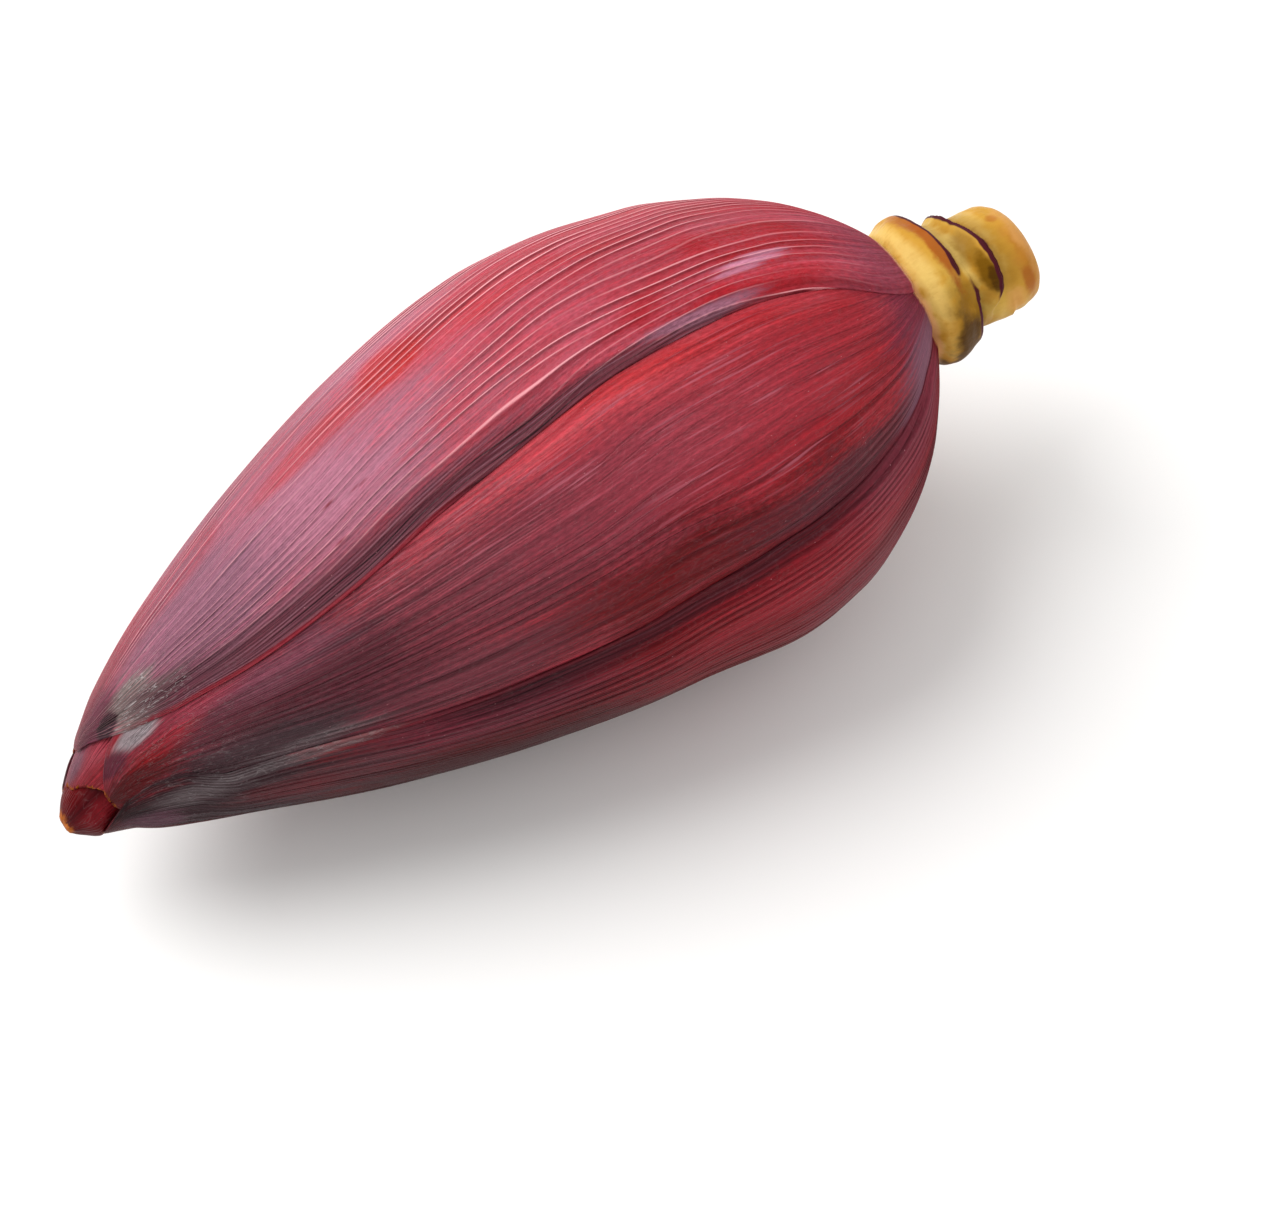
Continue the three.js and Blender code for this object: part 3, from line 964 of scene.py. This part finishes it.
FRONT_PATCHES = (
    # The red patches along the ridge beside the top bract's margin are partly painted light,
    # brighter where the ridge faces the lamp.
    (RIDGE_RED, (48, 15), (26, 9), 0.5, 0.9),
    (RIDGE_RED, (84, 20), (22, 5), 0.5, 0.8),
    (RIDGE_RED, (112, 24), (18, 4.5), 0.5, 0.9),
    (RIDGE_RED, (136, 28), (18, 4), 0.5, 0.7),
    (BRIGHT_RED, (68, 15), (22, 3), 0.5, 0.45),
    (FRESH_RED, (34, 36), (30, 26), 0.6, 0.75),
    (MAUVE_BROWN, (95, 42), (34, 18), 0.5, 0.9),
    (FRESH_RED, (50, 48), (28, 9), 0.5, 0.6),
    (DEEP_RED, (84, 63), (58, 11), 0.5, 0.95),
    (DEEP_PURPLE, (134, 66), (26, 10), 0.6, 0.6),
    (PURPLE_BROWN, (32, 64), (34, 8), 0.5, 0.8),
    (BASE_PURPLE, (2, 44), (13, 30), 0.6, 0.8),
    (DULL_MAUVE, (6, 66), (16, 14), 0.6, 0.8),
    (MAUVE_RED, (60, 34), (24, 12), 0.7, 0.5),
    (DULL_BROWN, (134, 46), (30, 28), 0.6, 0.75),
    (PURPLE_BROWN, (166, 50), (30, 34), 0.5, 0.95),
    (GREY_BROWN, (176, 62), (20, 14), 0.5, 0.85),
    (SILVER, (164, 66), (14, 3), 0.5, 0.25),
    (DULL_PLUM, (166, 32), (18, 8), 0.5, 0.5),
    (PURPLE_BROWN, (182, 42), (14, 10), 0.6, 0.6),
    (TIP_ROSE, (184, 25), (15, 6), 0.5, 0.85),
    (DEEP_RED, (196, 42), (8, 10), 0.5, 0.9),
    (DEEP_ROSE, (191, 33), (8, 6), 0.5, 0.45),
    (DEEP_RED, (201, 54), (6, 16), 0.4, 0.9),
    (SILVER_WHITE, (193.5, 15), (5.5, 7), 0.4, 0.85),
    (PLUM, (201, 22), (3.6, 9), 0.35, 0.85),
)
BOTTOM_PATCHES = (
    (BASE_MAUVE, (22, 74), (24, 9), 0.6, 0.8),
    (BASE_MAUVE, (30, 104), (30, 16), 0.6, 0.4),
    (DEEP_WINE, (136, 100), (46, 26), 0.5, 0.75),
    (DULL_PLUM, (134, 82), (26, 9), 0.6, 0.35),
    # Painted shade: dark brown low on the bottom bract, where it turns under towards the floor.
    (SHADE_BROWN, (140, 112), (44, 18), 0.5, 0.95),
    (CRIMSON, (66, 80), (34, 9), 0.6, 0.45),
    (GREY_BROWN, (186, 84), (22, 34), 0.35, 0.95),
    (DUSK_BROWN, (160, 90), (14, 14), 0.6, 0.6),
    (WINE, (173, 90), (11, 8), 0.4, 0.3),
    (SILVER, (166, 72), (22, 3), 0.5, 0.3),
    (SILVER, (188, 72), (9, 8), 0.5, 0.25),
    (PURPLE_GREY, (200, 94), (6, 14), 0.4, 0.7),
    (NEAR_BLACK, (203, 72), (4, 12), 0.5, 0.6),
    (GREY_BROWN, (150, 150), (60, 40), 0.5, 0.5),
)
BACK_PATCHES = (
    (MAUVE_BROWN, (120, -150), (50, 50), 0.5, 0.7),
    (CRIMSON, (50, -130), (30, 30), 0.6, 0.6),
    (PURPLE_BROWN, (4, -130), (14, 90), 0.5, 0.85),
    (GREY_BROWN, (185, -120), (24, 60), 0.5, 0.8),
)
# On the upper inner bract the mauve, grey-purple and pink patches on top are partly painted sheen
# and highlight.
UPPER_INNER_PATCHES = (
    (MAUVE_AND_SHEEN, (204, -32), (7, 22), 0.5, 0.8),
    (PINK_AND_HIGHLIGHT, (204, -4), (4.5, 10), 0.6, 0.85),
    (PURPLE_GREY, (207, -24), (3, 14), 0.5, 0.7),
    (PINK_AND_HIGHLIGHT, (202, 0), (6, 12), 0.6, 0.6),
    (CRIMSON, (207, 14), (4, 16), 0.6, 0.7),
)
BACK_INNER_PATCHES = (
    (PURPLE_BROWN, (206, -70), (8, 40), 0.5, 0.8),
)
HEART_PATCHES = (
    (DEEP_RED, (209, -20), (5, 36), 0.6, 0.8),
    (CRIMSON, (208, 62), (4, 22), 0.6, 0.3),
)

# A furrow lies along one margin, in the valley where the margin lies down. Its dark band is
# partly the skin's own colour and partly painted shade. Its width goes from the first value to
# the second over the widening stations. It starts and fades over the start and end stations, and
# the red lip on the margin itself starts over the lip_start stations. The depth, line and lip are
# strengths.

TOP_FURROW = dict(
    side="right", colour=FURROW_SKIN_AND_SHADE, depth=0.85, line=0.55, lip=0.85, widths=(1.5, 10.0),
    widening=(25, 140), start=(30, 50), end=(185, 198), lip_start=(105, 125),
)
BOTTOM_FURROW = dict(
    side="left", colour=DARK_FURROW_SKIN_AND_SHADE, depth=0.75, line=0.12, lip=0.2, widths=(3.0, 6.0),
    widening=(20, 80), start=(5, 70), end=(125, 150), lip_start=(60, 90),
)

# ---- Finishes ----

SKIN_BUMP = 0.14 * MM
STEM_BUMP = 0.12 * MM
STEM_GLOSS = 0.06
FLOOR_GLOSS = 0.2
FLOOR_ROUGHNESS = 0.85
FLOOR_COLOURS = paint(244, 243, 241), paint(247, 246, 245)
CREST_WIDTH, LINED_CREST_WIDTH = 0.1, 0.19


def start_material(name, gloss):
    """A material and its shader, with this uniform gloss."""
    material = bpy.data.materials.new(name)
    material.use_nodes = True
    shader = material.node_tree.nodes["Principled BSDF"]
    shader.inputs["Specular IOR Level"].default_value = gloss
    return material, shader


class Skin(Wiring):
    """The wiring of one bract's material, with its places and the noises that vary them."""

    def __init__(self, tree):
        super().__init__(tree)
        self.leaf = self.attribute("leaf")
        self.flat = self.stretched(self.leaf, (1, 1, 0))
        self.place = self.attribute("place")
        self.station, self.angle, self.strength = self.split(self.place)
        self.to_left, self.to_right, self.to_end = self.split(self.attribute("margin"))
        self.streak = self.lines("streaks", self.leaf, spacing=2.0, length=70.0, seed=2.0)["Value"]
        self.blots = self.noise(self.stretched(self.flat, (0.16, 0.06, 1)), detail=3.0)
        self.mottle = self.noise(self.stretched(self.flat, (2.0, 0.6, 1)))
        self.stray = self.total(
            self.centred(self.streak, 0.9), self.centred(self.blots, 1.0),
            self.centred(self.mottle, 0.5))


def soft_patch(wiring, place, centre, reach, softness, stray):
    """A mask of one patch."""
    return wiring.group("patch", Place=place, Centre=(*centre, 0), Reach=(*reach, 1),
                        Softness=softness, Stray=stray)["Mask"]


def lay_patches(wiring, colour, patches, stray):
    """The colour with patches over it, and a mask of its rubbed silver and grey skin."""
    place = wiring.attribute("place")
    rubbed = 0.0
    for patch_colour, centre, reach, softness, strength in patches:
        straying = wiring.product(stray, 0.6 + softness)
        mask = soft_patch(wiring, place, centre, reach, softness, straying)
        share = wiring.product(mask, strength)
        colour = wiring.blend(share, colour, patch_colour)
        if patch_colour in RUBBED_COLOURS:
            rubbed = wiring.larger(rubbed, share)
        elif rubbed:
            rubbed = wiring.product(rubbed, wiring.rest_of(1.0, share))
    return colour, rubbed


def lay_bloom(skin, colour, bloom, bloom_colour):
    """Pale waxy bloom, also given back as a mask."""
    cover = skin.product(skin.level(skin.blots, 0.3, 0.62), bloom)
    waxy = skin.group("waxy bloom", Leaf=skin.leaf, Cover=cover)["Mask"]
    return skin.lay(colour, bloom_colour, waxy, 0.45), waxy


def lay_ribs(skin, colour, crested, veining):
    """Ribs and veins, and their height. A crested bract has pale crests, partly painted highlight,
    and troughs darkened as partly painted shade; the others have dark grooves, partly painted
    shade.
    """
    station = skin.station
    crest_width = CREST_WIDTH
    if crested:
        # Painted light on a crested bract's far side, seen at a grazing angle: the ground is
        # painted deeper red and the troughs darker as painted shade, and the crest lines paler and
        # wider as painted highlight.
        far_side = skin.level(skin.angle, -18, -46)
        far_tip = skin.product(skin.level(skin.angle, -12, -30), skin.level(station, 95, 125))
        lined = skin.larger(far_side, far_tip)
        crest_width = skin.level(lined, 0.0, 1.0, CREST_WIDTH, LINED_CREST_WIDTH)
        far_side_shade = skin.product(far_side, skin.level(station, 70, 125, 0.5, 0.1))
        colour = skin.blend(far_side_shade, colour, FAR_SIDE_SHADE_RED)
    count = skin.split(skin.leaf)[2]
    rib = skin.group("ribs", Count=count, Strength=skin.strength, Width=crest_width)
    fine = skin.lines("veins", skin.leaf, spacing=0.95, length=110.0, seed=4.0)
    coarse = skin.lines("veins", skin.leaf, spacing=1.8, length=70.0, seed=5.0)
    veined = skin.level(station, 70, 125, 0.3, 1.0)
    rib_shade = skin.level(station, 80, 120, 0.62, 0.8) if crested else 0.78
    colour = skin.scaled(colour, skin.product(
        skin.level(skin.mottle, 0.3, 0.7, 0.88, 1.12),
        skin.level(skin.streak, 0.25, 0.75, 0.9, 1.1),
        skin.level(rib["Shade"], 0.0, 1.0, 1.08, rib_shade),
        skin.tint(rib["Trough"], 0.88 if crested else 1.12),
        skin.tint(skin.product(fine["Dark"], veined), 1 - 0.34 * veining),
        skin.tint(skin.product(fine["Light"], veined), 1 + 0.24 * veining),
        skin.tint(coarse["Dark"], 1 - 0.18 * veining),
        skin.tint(coarse["Light"], 1 + 0.3 * veining),
    ))
    if crested:
        # Painted shade in the far side's troughs.
        colour = skin.scaled(colour, skin.tint(skin.product(rib["Trough"], lined), 0.6))
        # Pale crest lines: partly the skin's paler crests and partly painted highlight.
        pale = skin.product(
            skin.level(station, 6, 36, 0.35, 0.8), skin.level(station, 90, 125, 1.0, 0.5))
        pale = skin.total(pale, skin.product(lined, 0.5))
        colour = skin.lay(colour, PALE_AND_HIGHLIGHT, rib["Crest"], pale)
    else:
        # Dark grooves: partly the veins' own colour and partly painted shade in the creases.
        groove = skin.larger(rib["Crest"], skin.product(rib["Shade"], 0.5))
        colour = skin.lay(colour, VEIN_DARK, groove, 0.55)
    height = skin.total(
        skin.product(fine["Height"], veined, 1.6),
        skin.product(coarse["Height"], 0.8),
        skin.product(rib["Crest"], 0.6 if crested else -1.0),
    )
    return colour, height


def lay_furrow(skin, colour, furrow):
    """The dark lined furrow beside a margin, partly the skin's own colour and partly painted shade,
    and the margin's own red lip.
    """
    side = {"left": skin.to_left, "right": skin.to_right}[furrow["side"]]
    width = skin.level(skin.station, *furrow["widening"], *furrow["widths"])
    inward = skin.math("DIVIDE", skin.total(side, skin.product(skin.stray, 2.2)), width)
    starting = skin.level(skin.station, *furrow["start"])
    fading = skin.level(skin.station, *furrow["end"], 1.0, 0.0)
    skin_and_shade_band = skin.product(skin.level(inward, 1.0, 0.4), starting, fading, furrow["depth"])
    colour = skin.blend(skin_and_shade_band, colour, furrow["colour"])
    grain = skin.lines("veins", skin.leaf, spacing=1.1, length=50.0, seed=6.0)
    colour = skin.lay(colour, FURROW_LINE, grain["Light"], skin_and_shade_band, furrow["line"])
    colour = skin.lay(colour, NEAR_BLACK, grain["Dark"], skin_and_shade_band, 0.9)
    lip_start = skin.level(skin.station, *furrow["lip_start"])
    return skin.lay(colour, LIP_RED, skin.level(side, 1.4, 0.6), lip_start, fading, furrow["lip"])


def lay_nicks(skin, colour, zone):
    """Short red nicks, scattered over a zone's centre and reach."""
    about = soft_patch(skin, skin.place, *zone, 0.4, skin.stray)
    drawn = skin.stretched(skin.flat, (1, 0.5, 0))
    nicks = skin.group("specks", Leaf=drawn, Spacing=2.4, Size=0.3, Share=0.35)["Mask"]
    return skin.lay(colour, NICK_RED, nicks, about, 0.9)


def lay_pale_streaks(skin, colour, zones):
    """Pale straight streaks over each zone."""
    value = skin.lines("streaks", skin.leaf, spacing=0.75, length=22.0, seed=8.0)["Value"]
    streak = skin.level(value, 0.56, 0.72)
    for zone in zones:
        about = soft_patch(skin, skin.place, *zone, 0.5, skin.stray)
        colour = skin.lay(colour, PALE_STREAK, streak, about, 0.5)
    return colour


def lay_wear(skin, colour, rubbed, scuffed):
    """Specks, flecks and the curly lines of old or rubbed skin, and their height."""
    specks = skin.group("specks", Leaf=skin.flat, Spacing=1.7, Size=0.09, Share=0.45)["Mask"]
    colour = skin.lay(colour, PALE_AND_HIGHLIGHT, specks, 0.4)
    aside = skin.vector_math("ADD", skin.flat, (37, 91, 0))
    flecks = skin.group("specks", Leaf=aside, Spacing=2.2, Size=0.1, Share=0.4)["Mask"]
    colour = skin.lay(colour, VEIN_DARK, flecks, 0.5)
    scuffs = skin.group("scuffs", Leaf=skin.leaf, Spacing=3.4)["Mask"]
    creases = skin.group("scuffs", Leaf=aside, Spacing=5.0)["Mask"]
    aged = skin.level(skin.station, 165, 192, 0.03, scuffed)
    colour = skin.lay(colour, GREY_BROWN, creases, rubbed, 0.6)
    colour = skin.lay(colour, PALE_SCUFF, scuffs, skin.larger(rubbed, aged), 0.8)
    return colour, skin.total(skin.product(specks, 0.5), skin.product(scuffs, aged, 3.5))


def lay_ends(skin, colour, torn_depth, bare_end):
    """The cream edge at the stem, and the torn orange end at the tip."""
    attached = skin.level(skin.total(skin.station, skin.stray), 1.3, 0.3)
    colour = skin.lay(colour, CREAM, attached, 0.7)
    ragged_end = skin.total(skin.to_end, skin.product(skin.stray, 0.8 * torn_depth))
    torn = skin.level(ragged_end, torn_depth, 0.4 * torn_depth)
    torn = skin.product(torn, skin.level(skin.blots, 0.44, 0.56, 0.05, 0.9))
    if bare_end:
        torn = skin.larger(torn, skin.level(ragged_end, bare_end, 0.4 * bare_end))
    uneven = skin.level(skin.mottle, 0.35, 0.65, 0.6, 1.15)
    return skin.blend(torn, colour, skin.scaled(TORN_ORANGE[:3], uneven))


def bract_material(name, ground, second, patches, gloss=0.12, bloom=0.15, bloom_colour=PURPLE_GREY,
                   crested=False, veining=1.0, furrow=None, nicked=None, streaked=(),
                   scuffed=0.18, torn_depth=0.5, bare_end=None):
    """Ribbed bract skin, from its ground colours up to its marks, wear and two ends."""
    material, shader = start_material(name, gloss)
    skin = Skin(material.node_tree)
    broad = skin.lines("streaks", skin.leaf, spacing=11.0, length=70.0, seed=1.0)["Value"]
    colour = skin.blend(skin.level(broad, 0.35, 0.65), ground, second)
    colour, rubbed = lay_patches(skin, colour, patches, skin.stray)
    colour, waxy = lay_bloom(skin, colour, bloom, bloom_colour)
    colour, rib_height = lay_ribs(skin, colour, crested, veining)
    if furrow:
        colour = lay_furrow(skin, colour, furrow)
    if nicked:
        colour = lay_nicks(skin, colour, nicked)
    if streaked:
        colour = lay_pale_streaks(skin, colour, streaked)
    colour, wear_height = lay_wear(skin, colour, rubbed, scuffed)
    skin.feed(shader.inputs["Base Color"], lay_ends(skin, colour, torn_depth, bare_end))
    dulled = skin.total(
        skin.level(waxy, 0.0, 1.0, 0.38, 0.55),
        skin.level(skin.station, 6, 45, 0.42, 0.0),
        skin.product(skin.stray, 0.1),
    )
    skin.feed(shader.inputs["Roughness"], dulled)
    height = skin.total(rib_height, wear_height, skin.product(skin.mottle, 1.4))
    skin.bump(shader, height, SKIN_BUMP)
    return material


STEM_YELLOW = paint(216, 176, 82)
STEM_OCHRE = paint(198, 146, 52)
STEM_CREAM_AND_HIGHLIGHT = paint(228, 194, 112)
OLIVE = paint(142, 98, 16)
DEEP_OLIVE = paint(116, 78, 4)
DARK_OLIVE = paint(76, 46, 0)
BURNT_ORANGE = paint(162, 82, 26)
SCAR_PURPLE = paint(74, 22, 34)
PEACH = paint(218, 158, 92)

# Painted light: the cream stripes along the tops of the collars are partly painted highlight, and
# the olive patches low on the collar's front and underneath are partly painted shade.
STEM_PATCHES = (
    (STEM_OCHRE, (-24, 20), (7, 70), 0.5, 0.8),
    (STEM_CREAM_AND_HIGHLIGHT, (-2.6, 20), (2.4, 70), 0.6, 0.7),
    (STEM_CREAM_AND_HIGHLIGHT, (-12.8, 10), (1.8, 46), 0.5, 0.7),
    (STEM_CREAM_AND_HIGHLIGHT, (-20.5, -20), (2, 60), 0.5, 0.4),
    (OLIVE, (-6.5, 78), (4, 30), 0.5, 0.8),
    (DARK_OLIVE, (-7, 100), (4.6, 33), 0.4, 0.95),
    (DARK_OLIVE, (-2.6, 122), (4, 16), 0.3, 0.85),
    (OLIVE, (-10, 60), (3, 16), 0.4, 0.8),
    (OLIVE, (-15.6, 34), (2.2, 32), 0.4, 0.7),
    (DEEP_OLIVE, (-16.4, 52), (2, 22), 0.35, 0.95),
    (DARK_OLIVE, (-17.2, 60), (1.3, 12), 0.3, 0.9),
    (STEM_OCHRE, (-7.5, -10), (3, 34), 0.5, 0.9),
    (BURNT_ORANGE, (-9, 10), (1.9, 34), 0.4, 0.9),
    (BURNT_ORANGE, (-8, -30), (2.5, 24), 0.5, 0.8),
    (BURNT_ORANGE, (-26.5, 62), (3, 50), 0.6, 0.5),
    (BURNT_ORANGE, (-25.2, 76), (1.6, 15), 0.4, 0.6),
    (BURNT_ORANGE, (-25, 2), (1.3, 5), 0.5, 0.5),
    (PEACH, (-28, 20), (2, 60), 0.6, 0.6),
    (PEACH, (-21, 92), (2, 16), 0.5, 0.6),
    (OLIVE, (-12, 160), (16, 40), 0.6, 0.6),
    (DARK_OLIVE, (-11, 200), (9, 30), 0.6, 0.5),
)


def stem_material():
    """Smooth waxy stem: ochre and olive patches, dried purple scars, and painted highlight and
    shade.
    """
    material, shader = start_material("stem skin", STEM_GLOSS)
    wiring = Wiring(material.node_tree)
    leaf = wiring.attribute("leaf")
    height = wiring.split(leaf)[1]
    rim, hollow_shade = wiring.split(wiring.attribute("scar"))[:2]
    blots = wiring.noise(leaf, scale=0.22, detail=3.0)
    fibres = wiring.noise(wiring.stretched(leaf, (1.1, 0.22, 1.1)), detail=3.0)
    stray = wiring.total(wiring.centred(blots, 1.8), wiring.centred(fibres, 0.25))
    colour = wiring.blend(wiring.level(blots, 0.35, 0.65), STEM_YELLOW, STEM_OCHRE)
    colour = lay_patches(wiring, colour, STEM_PATCHES, stray)[0]
    # Painted shade, laid on in dark olive, in the dip just past each scar's rim.
    colour = wiring.lay(colour, DARK_OLIVE, hollow_shade, 0.35)
    colour = wiring.lay(colour, OLIVE, wiring.level(fibres, 0.5, 0.7), 0.1)
    ragged_rim = wiring.total(rim, wiring.product(stray, 0.3))
    colour = wiring.blend(wiring.level(ragged_rim, 0.08, 0.3), colour, SCAR_PURPLE)
    joint = wiring.level(wiring.total(height, stray), 1.0, -0.3)
    colour = wiring.lay(colour, CREAM, joint, 0.8)
    specks = wiring.group("specks", Leaf=leaf, Spacing=2.2, Size=0.12, Share=0.3)["Mask"]
    colour = wiring.lay(colour, BURNT_ORANGE, specks, 0.35)
    wiring.feed(shader.inputs["Base Color"], colour)
    wiring.feed(shader.inputs["Roughness"], wiring.level(blots, 0.3, 0.7, 0.34, 0.5))
    grain = wiring.noise(wiring.stretched(leaf, (0.9, 0.5, 0.9)), detail=3.0)
    wiring.bump(shader, grain, STEM_BUMP)
    return material


def floor_material():
    """Matt off-white paper."""
    material, shader = start_material("pale floor", FLOOR_GLOSS)
    shader.inputs["Roughness"].default_value = FLOOR_ROUGHNESS
    wiring = Wiring(material.node_tree)
    object_place = wiring.add("ShaderNodeTexCoord").outputs["Object"]
    mottle = wiring.noise(object_place, scale=6.0, detail=3.0)
    wiring.feed(shader.inputs["Base Color"], wiring.blend(mottle, *FLOOR_COLOURS))
    return material


# ---- Camera, light and floor ----
# The camera turns this far round the part and stands this high, in degrees. The key lamp's
# distance and size are in metres and its power in watts.

VIEW_AZIMUTH = math.radians(-34.1)
VIEW_ELEVATION = math.radians(57)
VIEW_TARGET = Vector((-3.6, -20, 25.4)) * MM
VIEW_DISTANCE = 784 * MM
LENS = 100
DAYLIGHT = 0.8
KEY_DIRECTION = (-0.35, 0.45, 0.85)
KEY_DISTANCE = 2.6
KEY_SIZE = 2.2
KEY_POWER = 52
FLOOR_REACH = 20


def look_at(thing, target, direction, distance):
    """Puts a camera or lamp at this distance from its target, turned towards it."""
    thing.location = target + direction * distance
    thing.rotation_euler = direction.to_track_quat("Z", "Y").to_euler()


def add_camera():
    """The camera, turned to look at its target."""
    back = Vector((
        math.sin(VIEW_AZIMUTH) * math.cos(VIEW_ELEVATION),
        -math.cos(VIEW_AZIMUTH) * math.cos(VIEW_ELEVATION),
        math.sin(VIEW_ELEVATION),
    ))
    data = bpy.data.cameras.new("camera")
    data.lens = LENS
    data.sensor_fit = "HORIZONTAL"
    camera = add_object("camera", data)
    look_at(camera, VIEW_TARGET, back, VIEW_DISTANCE)
    bpy.context.scene.camera = camera


def add_softbox(name, direction, distance, size, power):
    """A round lamp that faces the origin from this direction."""
    data = bpy.data.lights.new(name, "AREA")
    data.shape = "DISK"
    data.size = size
    data.energy = power
    look_at(add_object(name, data), Vector(), Vector(direction).normalized(), distance)


def add_daylight(strength):
    """Even white light from all sides."""
    world = bpy.data.worlds.new("daylight")
    world.use_nodes = True
    background = world.node_tree.nodes["Background"]
    background.inputs["Color"].default_value = (1, 1, 1, 1)
    background.inputs["Strength"].default_value = strength
    bpy.context.scene.world = world


def add_floor():
    """A wide flat floor at height 0."""
    mesh = bpy.data.meshes.new("floor")
    corners = [(-1, -1, 0), (1, -1, 0), (1, 1, 0), (-1, 1, 0)]
    corners = [Vector(corner) * FLOOR_REACH for corner in corners]
    mesh.from_pydata(corners, [], [(0, 1, 2, 3)])
    mesh.materials.append(floor_material())
    add_object("floor", mesh)


# ---- Making ----

for name, effect, inputs in SHARED_EFFECTS:
    make_group(name, effect, inputs)
add_camera()
add_daylight(DAYLIGHT)
add_softbox("key", KEY_DIRECTION, KEY_DISTANCE, KEY_SIZE, KEY_POWER)
add_floor()

finished = (
    (build_bract(TOP_BRACT, top_relief),
     bract_material("top bract", ROSE, PINK_AND_HIGHLIGHT, TOP_PATCHES, gloss=0.09, bloom=0.4,
                    bloom_colour=LILAC_BLOOM_AND_SHEEN, crested=True, torn_depth=0.1, furrow=TOP_FURROW,
                    nicked=((137, -1), (22, 13)), veining=0.6)),
    (build_bract(FRONT_BRACT, front_relief),
     bract_material("front bract", CRIMSON, MAUVE_RED, FRONT_PATCHES, scuffed=0.22,
                    streaked=(((58, 34), (34, 20)), ((118, 28), (46, 8))), veining=0.75)),
    (build_bract(BOTTOM_BRACT, bottom_relief),
     bract_material("bottom bract", WINE, DEEP_RED, BOTTOM_PATCHES, gloss=0.06, bloom=0.06,
                    furrow=BOTTOM_FURROW)),
    (build_bract(BACK_BRACT, back_relief),
     bract_material("back bract", WINE, CRIMSON, BACK_PATCHES)),
    (build_bract(UPPER_INNER_BRACT, upper_inner_relief),
     bract_material("upper inner bract", CRIMSON, ROSE, UPPER_INNER_PATCHES, scuffed=0.1,
                    torn_depth=0.32)),
    (build_bract(BACK_INNER_BRACT, back_inner_relief),
     bract_material("back inner bract", WINE, PURPLE_BROWN, BACK_INNER_PATCHES)),
    (build_heart(),
     bract_material("heart", HEART_RED, HEART_DARK, HEART_PATCHES, gloss=0.07, bloom=0.0,
                    scuffed=0.05, torn_depth=1.7, bare_end=0.8, veining=0.3)),
    (build_stem(), stem_material()),
)
for piece, material in finished:
    piece.data.materials.append(material)
bpy.context.scene.view_settings.view_transform = "Standard"
